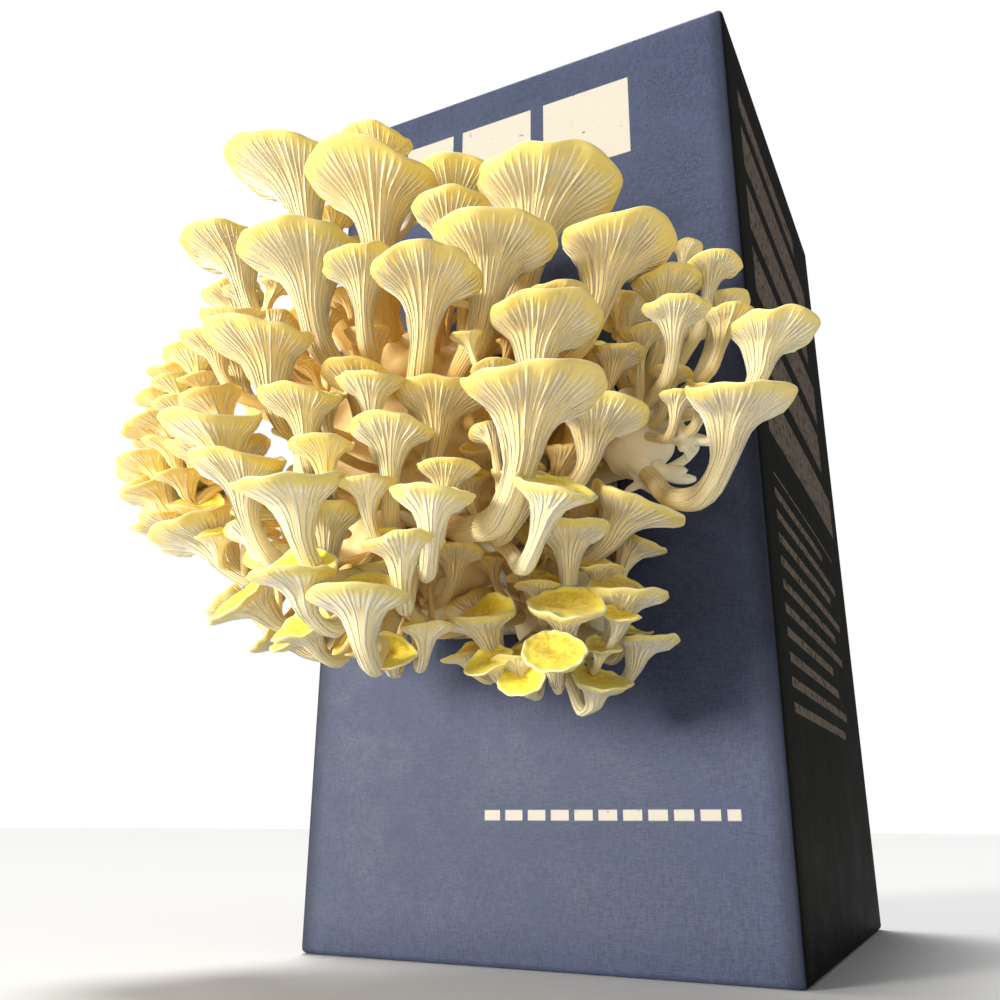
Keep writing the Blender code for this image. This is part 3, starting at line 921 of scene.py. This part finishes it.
class Gills:
    """Where the gills of one cap run, at each row and column of its skin.

    Turn is the number of the gill, with its fractions between two. Reach is how much of its full height a
    gill has there, and bare is 1 in the band under the rim."""

    def __init__(self, look, draw, count, angles, at, below, width):
        sway = draw.uniform(0.3, 0.8) * np.sin(3 * angles + draw.uniform(0, 6)) + 0.3 * np.sin(7 * angles)
        drift = draw.uniform(0.3, 0.8) * np.sin(at / width * 4 + draw.uniform(0, 6))[:, None]
        self.count = count
        self.turn = angles[None, :] * count / (2 * math.pi) + 0.25 * sway[None, :] + 0.45 * drift
        self.blade = np.abs(np.cos(np.pi * self.turn)) ** 1.6
        number = np.floor(self.turn + 0.5).astype(int) % count
        strength = draw.uniform(0.5, 1.2, count)[number]
        start = draw.uniform(-0.03, 0.05, count)[number] * width

        # Long gills run down the stem, and the short ones between them end near the rim.
        short = number % 2 == 1
        short_end = draw.uniform(0.24, 0.46, count)[number]
        end = np.where(short, short_end, draw.uniform(0.7, 1.6, count)[number]) * width
        band = look.band_width * width
        fade_in = smooth_step(band * 0.5 + start, band * 1.9 + start, below)
        fade_out = 1 - smooth_step(end * 0.6, end, below) * np.where(short, 1.0, 0.8)
        self.fade = fade_in * fade_out
        self.reach = strength * self.fade
        self.bare = 1 - smooth_step(band * 0.7 + start * 0.5, band * 1.9 + start * 0.5, below)

    def lift(self, full):
        """How far the skin stands out, where full is a gill's full height."""
        return (self.blade * self.reach - 0.35 * self.fade) * full


def cap_top(line, out, axis, dish, navel, look, width, draw):
    """Rings of the rolled edge and the dished, granular top, from the rim inwards."""
    edge = look.lip * width
    roll = ((0.3, 0.8), (1.1, 1.2), (2.4, 1.1))  # how far in from the rim and how far up, in edges
    top = [line - out * edge * inwards + axis * edge * up for inwards, up in roll]
    shoulder, floor = top[-1], dish + axis * edge * 0.8
    for share in (0.3, 0.65):
        top.append(shoulder * (1 - share) + floor * share - axis * width * 0.018 * math.sin(math.pi * share))
    for share in (0, 0.4, 0.75):
        top.append(floor * (1 - share) + navel * share + axis * width * 0.02 * math.sin(math.pi * share))
    top = np.array(top)
    bumps = draw.normal(0, 1, top.shape[:2])
    bumps = sum(np.roll(bumps, step, 1) for step in range(-2, 3)) / 2
    bumps = bumps * smooth_step(2, 4, np.arange(len(top)))[:, None]
    return top + axis * (bumps * look.granule * width)[:, :, None]


def cap_marks(gills, tops):
    """Colours of the skin mark: red is how tall the gill stands there (on the top: nearness to its middle),
    green the bare band, blue the top."""
    rows, columns = gills.turn.shape
    marks = np.zeros((rows + tops, columns, 3))
    marks[:rows, :, 0] = np.clip(gills.reach, 0, 1)
    marks[:rows, :, 1] = gills.bare
    marks[rows:, :, 0] = (np.linspace(0, 1, tops) ** 1.2)[:, None]
    marks[rows:, :, 2] = np.minimum(1, np.arange(1, tops + 1) / 2)[:, None]
    marks[rows:, :, 1] = 1 - marks[rows:, :, 2]
    navel, foot = (1, 0, 1), (0, 0, 0)
    return np.concatenate([marks.reshape(-1, 3), [navel, foot]])


def cap_ways(gills, depths, tops):
    """At each face's corners: the number of the gill, and how far below the rim as a share of the width."""
    rows, columns = gills.turn.shape
    lines = rows + tops
    turns = np.concatenate([gills.turn, np.repeat(gills.turn[-1:], tops, 0)])
    turns = np.concatenate([turns, turns[:, :1] + gills.count], axis=1)
    depths = np.concatenate([depths, np.zeros(tops)])
    corners = np.empty((lines - 1, columns, 4, 2))
    for corner, (up, along) in enumerate(((0, 0), (0, 1), (1, 1), (1, 0))):
        corners[:, :, corner, 0] = turns[up:lines - 1 + up, along:columns + along]
        corners[:, :, corner, 1] = depths[up:lines - 1 + up, None]
    ends = np.zeros((columns * 6, 2))
    return np.concatenate([corners.reshape(-1, 2), ends])


def grow(ends, rings, look, name, fine=1.0, sink=4 * MM):
    """One mushroom with gills, rolled edge and dished cap: points, faces, "skin" marks and ways.

    Fine is the share of the full count of gills, and sink is how far the foot runs into the joined stems."""
    draw = luck(name)
    foot, navel = ends
    rim = rings[OUTER_RINGS - 1]
    width = np.linalg.norm(rim - rim.mean(0), axis=1).mean() * 2
    count = int(round(look.gill_count * fine * (0.35 + 0.65 * min(1, width / WIDE_CAP))))
    columns = count * (3 if fine == 1 else 2)
    angles = np.arange(columns) * 2 * math.pi / columns
    smooth = np.einsum("cs,rsk->rck", round_weights(rings.shape[1], columns), rings)
    outer, dish = smooth[:OUTER_RINGS], smooth[OUTER_RINGS]
    for ring, share in ((outer[-2], 0.5), (outer[-1], 1), (dish, 1)):
        ring += (ring - ring.mean(0)) * look.spread * share
    axis, front = cap_axes(outer)
    facing = unit(outer[-1] - outer[-1].mean(0)) @ front  # 1 at the cap's front, -1 at its back
    sunk = unit(outer[0].mean(0) - outer[1].mean(0)) * sink
    skin, at = smooth_run(outer, axis, sunk, int(round(SKIN_ROWS * math.sqrt(fine))))
    below = (at[-1] - at)[:, None]

    # The flare is hollowed to a waist, and the cap's sides hang lower than its front and back.
    middle = skin.mean(1, keepdims=True)
    waist = smooth_step(0.06 * width, 0.3 * width, below) * smooth_step(0, 6 * MM, at[:, None])
    skin = middle + (skin - middle) * (1 - look.waist * waist)[:, :, None]
    hang = look.arch * width * (facing**2 - 0.45)
    near_rim = 1 - smooth_step(0, 0.4 * width, below)
    skin = skin + axis * (near_rim * hang)[:, :, None]
    dish = dish + axis * (0.5 * hang)[:, None]
    normal = unit(np.cross(np.roll(skin, -1, 1) - np.roll(skin, 1, 1), np.gradient(skin, at, axis=0)))

    # Waves of the rim: soft lobes and fine ripples.
    out = unit(skin[-1] - skin[-1].mean(0))
    orders = (3, 4, 5, 7, 9, 12)
    wave = sum(draw.uniform(0.2, 1) * np.sin(order * angles + draw.uniform(0, 6.28)) for order in orders)
    ripple = look.rim_ripple * width * near_rim[:, :, None] ** 1.5
    skin = skin + ripple * (out * 0.8 * wave[:, None] + axis * np.roll(wave, columns // 5)[:, None])

    gills = Gills(look, draw, count, angles, at, below, width)
    spread = np.linalg.norm(skin - middle, axis=2)
    full = look.gill_height * width * (0.35 + 0.65 * np.clip(spread / (0.32 * width), 0, 1))
    skin = skin + normal * gills.lift(full)[:, :, None]
    top = cap_top(skin[-1], out, axis, dish, navel, look, width, draw)

    points = np.concatenate([skin.reshape(-1, 3), top.reshape(-1, 3), [navel, foot + sunk]])
    lines = len(skin) + len(top)
    faces = skin_faces(lines, columns)
    last = lines * columns
    for k in range(columns):
        after = (k + 1) % columns
        faces += [((lines - 1) * columns + k, (lines - 1) * columns + after, last), (after, k, last + 1)]
    return points, faces, cap_marks(gills, len(top)), cap_ways(gills, below[:, 0] / width, len(top))


FLUSH_MIDDLE = place(-14, 34, 140)
FLUSH_REACH = np.array((84, 62, 98)) * MM


def tone_of(points, warmth, chance):
    """Tone marks: red is how golden the flesh is, partly its own tone and partly painted shade, green how
    deep in the flush it lies, which sets the painted amber glow and shade there, blue is chance.

    The lowest mushrooms are the palest."""
    far = np.linalg.norm((points - FLUSH_MIDDLE) / FLUSH_REACH, axis=1)
    tone = np.empty((len(points), 3))
    tone[:, 0] = warmth * (0.3 + 0.7 * smooth_step(92 * MM, 125 * MM, points[:, 2]))
    tone[:, 1] = 1 - smooth_step(0.35, 0.95, far)
    tone[:, 2] = chance
    return tone


def make_mushrooms(look, finish):
    """The large mushrooms, each on its own CAD solid. Those of the middle group are the most golden, partly
    through painted shade.
    """
    for name in MUSHROOMS:
        ends, rings = rings_of(name)
        points, faces, skin, ways = grow(ends, rings, look, name)
        draw = luck(name + " tone")
        golden = (0.3, 1.0) if "_main_" in name else (0.0, 0.4)
        tone = tone_of(points, draw.uniform(*golden), draw.uniform())
        marks = {"skin": skin, "tone": tone}
        piece = add(name.replace("mushroom", "cap"), points, faces, [finish], marks, ways)
        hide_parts(name)


# ---------------------------------------------------------------- joined stems


def funnel(middles, radii, sides=14):
    """Points and faces of a closed tube through middles."""
    middles = np.array(middles)
    points = []
    for number, middle in enumerate(middles):
        ahead = unit(middles[min(number + 1, len(middles) - 1)] - middles[max(number - 1, 0)])
        across = unit(np.cross(ahead, (0.3, 0.9, 0.31)))
        other = np.cross(ahead, across)
        for k in range(sides):
            angle = 2 * math.pi * k / sides
            points.append(middle + radii[number] * (across * math.cos(angle) + other * math.sin(angle)))
    faces = skin_faces(len(middles), sides)
    faces += [tuple(range(sides))[::-1], tuple((len(middles) - 1) * sides + k for k in range(sides))]
    return points, faces


def feet():
    """Every large mushroom's foot: its middle, the way the stem leaves it and its radius."""
    found = []
    for name in MUSHROOMS:
        ends, rings = rings_of(name)
        middle = rings[0].mean(0)
        radius = np.linalg.norm(rings[0] - middle, axis=1).mean()
        found.append((middle, unit(rings[1].mean(0) - middle), radius))
    return found


class Heap:
    """Points and faces of several shapes in one."""

    def __init__(self):
        self.points, self.faces = [], []

    def add(self, points, faces):
        """Puts one more shape on the heap."""
        start = len(self.points)
        self.points += [tuple(point) for point in points]
        self.faces += [tuple(corner + start for corner in face) for face in faces]

    def tree(self):
        """The heap's faces, sorted to find the nearest one fast."""
        return BVHTree.FromPolygons(self.points, self.faces)


def make_one_skin(piece, voxel, passes):
    """Melts a heap of crossing shapes into one soft skin, its corners about one voxel apart."""
    skin = piece.modifiers.new("one skin", "REMESH")
    skin.mode = "VOXEL"
    skin.voxel_size = voxel
    soft = piece.modifiers.new("soft", "SMOOTH")
    soft.factor = 0.5
    soft.iterations = passes
    settle_modifiers(piece)


def make_knots(finish):
    """Joined stems: the CAD knot with a fillet up to every stem that stands on it, made one skin."""
    stands = feet()
    # The fillet's rings, in radii of the stem: how far along it, and how wide.
    steps = (-3.2, -2.0, -1.0, 0.0, 0.9)
    sizes = (1.9, 1.75, 1.4, 1.05, 0.75)
    for name in KNOTS:
        heap = Heap()
        heap.add(*welded(name))
        tree = heap.tree()
        for middle, along, radius in stands:
            if tree.find_nearest(middle)[3] <= 1.5 * MM:
                middles = [middle + along * step * radius for step in steps]
                heap.add(*funnel(middles, [radius * size for size in sizes]))
        piece = add(name.replace("knot", "stems"), heap.points, heap.faces, [finish])
        make_one_skin(piece, 1.15 * MM, 6)
        shape = points_of(piece.data)
        normals = np.empty(len(shape) * 3, np.float32)
        piece.data.vertices.foreach_get("normal", normals)
        folds = 4 * ripples(shape, luck(name), 420, 16)
        outside = smooth_step(FRONT + 2 * MM, FRONT - 6 * MM, shape[:, 1])[:, None]
        shape += normals.reshape(-1, 3) * outside * (0.45 * MM * folds)[:, None]
        piece.data.vertices.foreach_set("co", shape.astype(np.float32).ravel())
        # The tone's green, depth in the flush, sets the stems' painted amber glow and shade.
        mark(piece.data, "tone", tone_of(shape, 0.5, 0.5))
        piece.data.shade_smooth()
        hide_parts(name)


# ---------------------------------------------------------------- sprigs, pins and the young thicket


SPRIG_SPOTS = {"knot_low": 1500, "knot_main": 9000, "knot_right": 1500}  # places to try on each knot
SPRIG_TIERS = 6  # sizes of sprigs, widest first, each with an equal part of the count


class Crowd:
    """The space that mushrooms already take."""

    def __init__(self):
        heap = Heap()
        for name in [*MUSHROOMS, "young_thicket", "carton"]:
            heap.add(*welded(name))
        self.tree = heap.tree()
        self.balls = []

    def room(self, point):
        """How far the point is from the nearest skin; below zero inside one."""
        spot, normal, _, distance = self.tree.find_nearest(Vector(point))
        inside = (Vector(point) - spot).dot(normal) < 0
        return -distance if inside else distance

    def free(self, balls):
        """Whether the balls touch nothing."""
        for middle, radius in balls:
            if any(np.linalg.norm(middle - other) < radius + size for other, size in self.balls):
                return False
            if self.room(middle) < radius:
                return False
        return True


def cap_balls(tip, axis, width):
    """Balls that cover a small mushroom's cap and the flare under it."""
    return [(tip - axis * width * 0.02, width * 0.48), (tip - axis * width * 0.3, width * 0.33)]


def stem_ball(foot, tip, axis, width):
    """A ball in the middle of a small mushroom's stem."""
    throat = tip - axis * width * 0.5
    return (throat * 0.6 + foot * 0.4, width * 0.17)


def sprig_spots(draw):
    """Places where a sprig may stand, each with the way out of the skin, in chance order."""
    spots = []
    for name in KNOTS:
        points, faces = welded(name)
        corners = points[[face[:3] for face in faces]]
        normals = np.cross(corners[:, 1] - corners[:, 0], corners[:, 2] - corners[:, 0])
        areas = np.linalg.norm(normals, axis=1)
        normals = unit(normals)
        areas[(corners.mean(1)[:, 1] > FRONT - 4 * MM) | (normals[:, 1] > 0.5)] = 0
        for face in draw.choice(len(faces), SPRIG_SPOTS[name], p=areas / areas.sum()):
            spots.append((draw.dirichlet((1, 1, 1)) @ corners[face], normals[face]))
    for name in MUSHROOMS:
        for ring in rings_of(name)[1][1:4]:
            spots += [(point, unit(point - ring.mean(0))) for point in ring] * 6
    return [spots[k] for k in draw.permutation(len(spots))]


def kept_clear(foot, normal, tip):
    """Whether sprigs keep away: outside the flush, close to the board, and below and right of the groups."""
    far = np.linalg.norm((tip - FLUSH_MIDDLE) / FLUSH_REACH)
    across, out, up = tip[0], FRONT - tip[1], tip[2]
    if not 0.45 < far < 1.02 or out < 8 * MM or up < 84 * MM:
        return True
    if across > 44 * MM and up < 140 * MM:
        return True
    return normal[2] < -0.3 or (foot[0] > 44 * MM and foot[2] < 130 * MM)


def plant_sprigs(look, crowd):
    """Small mushrooms where the gaps between the large ones leave room: rows for ruled_rings."""
    draw = np.random.default_rng(look.seed)
    spots = sprig_spots(draw)
    rows = []
    for tier, size in enumerate(np.linspace(look.largest, look.smallest, SPRIG_TIERS)):
        for foot, normal in spots:
            if len(rows) >= look.count * (tier + 1) / SPRIG_TIERS:
                break
            lean = normal * draw.uniform(0.5, 1.4) + UP * draw.uniform(0.3, 1.1) + draw.normal(0, 0.25, 3)
            tip = foot + normal * 2 * MM + unit(lean) * draw.uniform(0.7, 2.4) * size
            if kept_clear(foot, normal, tip):
                continue
            facing = unit((tip - foot) * (1, 1, 0) + (0, -1e-4, 0))
            nod = math.radians(draw.uniform(4, 26))
            axis = UP * math.cos(nod) + facing * math.sin(nod)
            stem = tip - axis * size * 0.6 - foot
            if stem @ axis < 0.45 * np.linalg.norm(stem):
                continue  # it would cross the others like a rod
            balls = cap_balls(tip, axis, size)
            if crowd.free(balls):
                crowd.balls += [*balls, stem_ball(foot, tip, axis, size)]
                rows.append((foot, normal, tip, facing, size, nod))
    return rows


def set_sprigs(crowd):
    """The small caps whose places are set, a little narrower where one has no room."""
    rows = []
    for knot, caps in SMALL_CAPS.items():
        heap = Heap()
        heap.add(*welded(knot))
        tree = heap.tree()
        low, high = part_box(knot)
        heart = (np.array(low) + np.array(high)) / 2
        for across, out, up, width, nod in caps:
            tip = place(across, out, up)
            facing = unit((tip - heart) * (1, 1, 0))
            nod = math.radians(nod)
            axis = UP * math.cos(nod) + facing * math.sin(nod)
            throat = tip - axis * width * MM * 0.8
            spot, normal, _, _ = tree.find_nearest(Vector(throat - UP * 4 * MM))
            foot = np.array(spot)
            for size in (width * MM, width * MM * 0.85, width * MM * 0.7):
                if crowd.room(tip) > 0.2 * size:
                    rows.append((foot, np.array(normal), tip, facing, size, nod))
                    crowd.balls += [*cap_balls(tip, axis, size), stem_ball(foot, tip, axis, size)]
                    break
    return rows


def gather(name, rows, look, finish, fine, warm=(0.3, 1.0)):
    """Grows every row as a small mushroom and joins them in one piece. Warm is how golden they are."""
    heap = Heap()
    skins, tones, ways = [], [], []
    for number, row in enumerate(rows):
        title = f"{name} {number}"
        points, faces, skin, way = grow(*ruled_rings(*row), look, title, fine, 2.5 * MM)
        draw = luck(title)
        tones.append(tone_of(points, draw.uniform(*warm), draw.uniform()))
        heap.add(points, faces)
        skins.append(skin)
        ways.append(way)
    marks = {"skin": np.concatenate(skins), "tone": np.concatenate(tones)}
    return add(name, heap.points, heap.faces, [finish], marks, np.concatenate(ways))


def finger(start, direction, length, radius, curl, draw):
    """A blunt finger of flesh that bends as it grows."""
    steps, sides = 12, 10
    bend = unit(np.cross(direction, draw.normal(0, 1, 3)))
    spot, way = np.array(start, float), np.array(direction, float)
    middles, radii = [], []
    for step in range(steps):
        share = step / (steps - 1)
        middles.append(spot)
        tip = math.sqrt(max(0.02, 1 - max(0, (share - 0.8) / 0.2) ** 2))
        radii.append(radius * (1.25 - 0.45 * share + 0.25 * math.sin(math.pi * share)) * tip)
        way = unit(way + bend * curl / steps)
        spot = spot + way * length / (steps - 1)
    return funnel(middles, radii, sides)


def make_pins(finish):
    """White branching fingers under the right stems, and curled young stems by the low ones."""
    draw = luck("pins")
    # Root, way, count, shortest and longest in mm, radius in mm, curl.
    groups = (
        (place(50, 20, 133), (0.35, -0.35, -0.85), 9, (9, 15), 1.5, 1.6),
        (place(56, 24, 138), (0.8, -0.3, -0.4), 6, (9, 15), 1.4, 1.8),
        (place(4, 52, 112), (-0.1, -0.9, -0.3), 8, (9, 16), 2.0, 2.8),
        (place(24, 30, 118), (0.3, -0.9, 0.1), 6, (6, 10), 1.6, 2.2),
    )
    heap = Heap()
    for root, way, count, lengths, radius, curl in groups:
        for _ in range(count):
            start = root + draw.normal(0, 2.6, 3) * MM
            heading = unit(np.array(way) + draw.normal(0, 0.4, 3))
            length, thick = draw.uniform(*lengths) * MM, radius * draw.uniform(0.7, 1.1) * MM
            heap.add(*finger(start, heading, length, thick, curl * draw.uniform(0.4, 1.0), draw))
    piece = add("young_pins", heap.points, heap.faces, [finish])
    make_one_skin(piece, 0.65 * MM, 3)
    # The pins get about a third of the depth that sets the painted amber glow and shade.
    mark(piece.data, "tone", tone_of(points_of(piece.data), 0.3, 0.3) * (1, 0.35, 1))
    piece.data.shade_smooth()


def make_thicket(look, finish):
    """Young mushrooms at the far left, in tiers that lean outwards."""
    low, high = np.array(THICKET_LOW), np.array(THICKET_HIGH)
    middle, half = (low + high) / 2, (high - low) / 2
    heart = middle + half * (0.55, 0.35, -0.2)
    draw = luck("thicket")
    rows = []
    tiers = (4, 5, 6, 6, 5, 4)
    for tier, count in enumerate(tiers):
        share = (tier + 0.5) / len(tiers)
        height = low[2] + (high[2] - low[2]) * share
        bulge = math.sqrt(max(0.1, 1 - (2 * share - 1) ** 2 * 0.8))
        for k in range(count):
            turn = math.radians(-22 + 165 * (k + 0.5 * (tier % 2)) / (count - 0.5) + draw.uniform(-6, 6))
            facing = np.array((-math.sin(turn), -math.cos(turn), 0))
            tip = middle + facing * half * (0.92, 0.86, 0) * bulge
            tip[2] = height + draw.uniform(-2, 2) * MM
            width = draw.uniform(11.5, 17) * MM
            foot = heart + (tip - heart) * 0.3 + UP * -6 * MM
            rows.append((foot, unit(tip - foot), tip, facing, width, math.radians(draw.uniform(12, 34))))
    piece = gather("young_thicket_caps", rows, look, finish, 0.46, (0.5, 1.0))
    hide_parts("young_thicket")


# ---------------------------------------------------------------- stage


def make_floor(look):
    """A wide pale floor just under the carton."""
    paint = Finish("floor")
    cloud = paint.noise(2.5, 3, 0.5)
    paint.set(Base_Color=paint.mix(paint.span(cloud, 0.3, 0.7), shaded(look.floor, 0.985), look.floor))
    paint.set(Roughness=0.7)
    shape = bmesh.new()
    bmesh.ops.create_grid(shape, x_segments=8, y_segments=8, size=6)
    mesh = bpy.data.meshes.new("floor")
    shape.to_mesh(mesh)
    shape.free()
    mesh.materials.append(paint.made)
    floor = bpy.data.objects.new("floor", mesh)
    floor.location.z = -0.1 * MM
    bpy.context.scene.collection.objects.link(floor)


def make_lights(look):
    """A soft low key from the left front, light from above, and three small lamps."""
    target = Vector((0, FRONT, 0.15))
    # Name, kind, strength, place from the middle of the front, tint, and angle in degrees or width in m.
    lights = (
        ("key_light", "SUN", look.key, (-0.62, -1.0, 0.14), (1.0, 0.96, 0.90), 16),
        ("top_light", "SUN", look.top, (-0.15, 0.1, 1.0), (1.0, 0.99, 0.97), 16),
        ("low_light", "AREA", look.low, (-0.62, -1.0, -0.02), (1.0, 0.97, 0.92), 0.24),
        ("fill_light", "AREA", look.fill, (1.3, -0.2, 0.5), (0.9, 0.95, 1.0), 1.2),
        ("back_light", "AREA", look.fill, (-0.4, 1.5, 0.9), (1.0, 1.0, 1.0), 1.2),
    )
    for name, kind, power, away, tint, spread in lights:
        lamp = bpy.data.lights.new(name, kind)
        lamp.energy = power
        lamp.color = tint
        if kind == "SUN":
            lamp.angle = math.radians(spread)
        else:
            lamp.size = spread
        made = bpy.data.objects.new(name, lamp)
        made.location = target + Vector(away)
        made.rotation_euler = (-Vector(away)).to_track_quat("-Z", "Y").to_euler()
        bpy.context.scene.collection.objects.link(made)


def make_background(look):
    world = bpy.data.worlds.new("studio")
    world.use_nodes = True
    nodes, links = world.node_tree.nodes, world.node_tree.links
    seen = nodes["Background"]
    seen.inputs["Color"].default_value = (1, 1, 1, 1)
    seen.inputs["Strength"].default_value = 1
    soft = nodes.new("ShaderNodeBackground")
    soft.inputs["Color"].default_value = (0.95, 0.97, 1, 1)
    soft.inputs["Strength"].default_value = look.ambient
    rays = nodes.new("ShaderNodeLightPath")
    pick = nodes.new("ShaderNodeMixShader")
    links.new(rays.outputs["Is Camera Ray"], pick.inputs[0])
    links.new(soft.outputs[0], pick.inputs[1])
    links.new(seen.outputs[0], pick.inputs[2])
    links.new(pick.outputs[0], nodes["World Output"].inputs["Surface"])
    bpy.context.scene.world = world
    bpy.context.scene.view_settings.view_transform = "Standard"


def make_camera():
    """A wide lens close to the floor, turned left and looking up."""
    turned_left, tilted_up, rolled = 26.41, 18.74, -0.276  # degrees
    camera = bpy.data.cameras.new("camera")
    camera.sensor_width = 36
    camera.lens = 34.5
    camera.clip_start = 0.01
    seat = bpy.data.objects.new("camera", camera)
    turn = Matrix.Rotation(math.radians(turned_left), 3, "Z")
    turn = turn @ Matrix.Rotation(math.radians(tilted_up), 3, "X")
    turn = turn @ Matrix.Rotation(math.radians(rolled), 3, "Y")
    axes = turn @ Vector((1, 0, 0)), turn @ Vector((0, 0, 1)), turn @ Vector((0, -1, 0))
    matrix = Matrix(axes).transposed().to_4x4()
    matrix.translation = Vector((0.1214, -0.3424, 0.0373))
    seat.matrix_world = matrix
    bpy.context.scene.collection.objects.link(seat)
    bpy.context.scene.camera = seat


def make_stage(look):
    """Floor, lights, background and camera."""
    make_floor(look)
    make_lights(look)
    make_background(look)
    make_camera()


# ---------------------------------------------------------------- operators and panel


def flesh():
    """The flesh finish, made once."""
    return bpy.data.materials.get("flesh_skin") or flesh_finish(bpy.context.scene.growkit_flesh)


def stem_flesh():
    """The joined stems' finish, made once."""
    return bpy.data.materials.get("stem_skin") or stems_finish(bpy.context.scene.growkit_flesh)


class GROWKIT_OT_carton(bpy.types.Operator):
    """Build the printed carton round its window"""

    bl_idname = "growkit.carton"
    bl_label = "Carton"

    def execute(self, context):
        make_carton(context.scene.growkit_carton)
        return {"FINISHED"}


class GROWKIT_OT_contents(bpy.types.Operator):
    """Build the block of spawn, its bag and the breathing patch"""

    bl_idname = "growkit.contents"
    bl_label = "Spawn and bag"

    def execute(self, context):
        make_contents(context.scene.growkit_spawn)
        return {"FINISHED"}


class GROWKIT_OT_mushrooms(bpy.types.Operator):
    """Grow the large mushrooms on the CAD's stems and caps"""

    bl_idname = "growkit.mushrooms"
    bl_label = "Mushrooms"

    def execute(self, context):
        make_mushrooms(context.scene.growkit_flesh, flesh())
        return {"FINISHED"}


class GROWKIT_OT_stems(bpy.types.Operator):
    """Build the joined stems and the pins on them"""

    bl_idname = "growkit.stems"
    bl_label = "Joined stems"

    def execute(self, context):
        make_knots(stem_flesh())
        make_pins(stem_flesh())
        return {"FINISHED"}


class GROWKIT_OT_sprigs(bpy.types.Operator):
    """Grow small mushrooms in the gaps"""

    bl_idname = "growkit.sprigs"
    bl_label = "Sprigs"

    def execute(self, context):
        crowd = Crowd()
        look = context.scene.growkit_flesh
        gather("small_caps", set_sprigs(crowd), look, flesh(), 0.55, (0.2, 0.7))
        sprigs = plant_sprigs(context.scene.growkit_sprigs, crowd)
        half = len(sprigs) // 2
        gather("wide_sprigs", sprigs[:half], look, flesh(), 0.4)
        gather("narrow_sprigs", sprigs[half:], look, flesh(), 0.36)
        return {"FINISHED"}


class GROWKIT_OT_thicket(bpy.types.Operator):
    """Grow the thicket of young mushrooms"""

    bl_idname = "growkit.thicket"
    bl_label = "Young thicket"

    def execute(self, context):
        make_thicket(context.scene.growkit_flesh, flesh())
        return {"FINISHED"}


class GROWKIT_OT_stage(bpy.types.Operator):
    """Set the floor, the lights and the camera"""

    bl_idname = "growkit.stage"
    bl_label = "Stage"

    def execute(self, context):
        make_stage(context.scene.growkit_stage)
        return {"FINISHED"}


STEPS = (
    GROWKIT_OT_carton, GROWKIT_OT_contents, GROWKIT_OT_mushrooms, GROWKIT_OT_stems, GROWKIT_OT_sprigs,
    GROWKIT_OT_thicket, GROWKIT_OT_stage,
)


class GROWKIT_PT_panel(bpy.types.Panel):
    bl_idname = "GROWKIT_PT_panel"
    bl_label = "Oyster mushroom grow kit"
    bl_space_type = "VIEW_3D"
    bl_region_type = "UI"
    bl_category = "Grow kit"

    def draw(self, context):
        for step in STEPS:
            self.layout.operator(step.bl_idname)
        for title, look in LOOKS.items():
            box = self.layout.box()
            box.label(text=title.replace("growkit_", "").capitalize())
            for key in look.__annotations__:
                box.prop(getattr(context.scene, title), key)


CLASSES = (*LOOKS.values(), *STEPS, GROWKIT_PT_panel)


def register():
    """Adds the settings, operators and panel to Blender."""
    for entry in CLASSES:
        bpy.utils.register_class(entry)
    for title, look in LOOKS.items():
        setattr(bpy.types.Scene, title, PointerProperty(type=look))


def unregister():
    """Takes them out again."""
    for title in LOOKS:
        delattr(bpy.types.Scene, title)
    for entry in reversed(CLASSES):
        bpy.utils.unregister_class(entry)


def main():
    register()
    for step in STEPS:
        group, action = step.bl_idname.split(".")
        getattr(getattr(bpy.ops, group), action)()


if __name__ == "__main__":
    main()
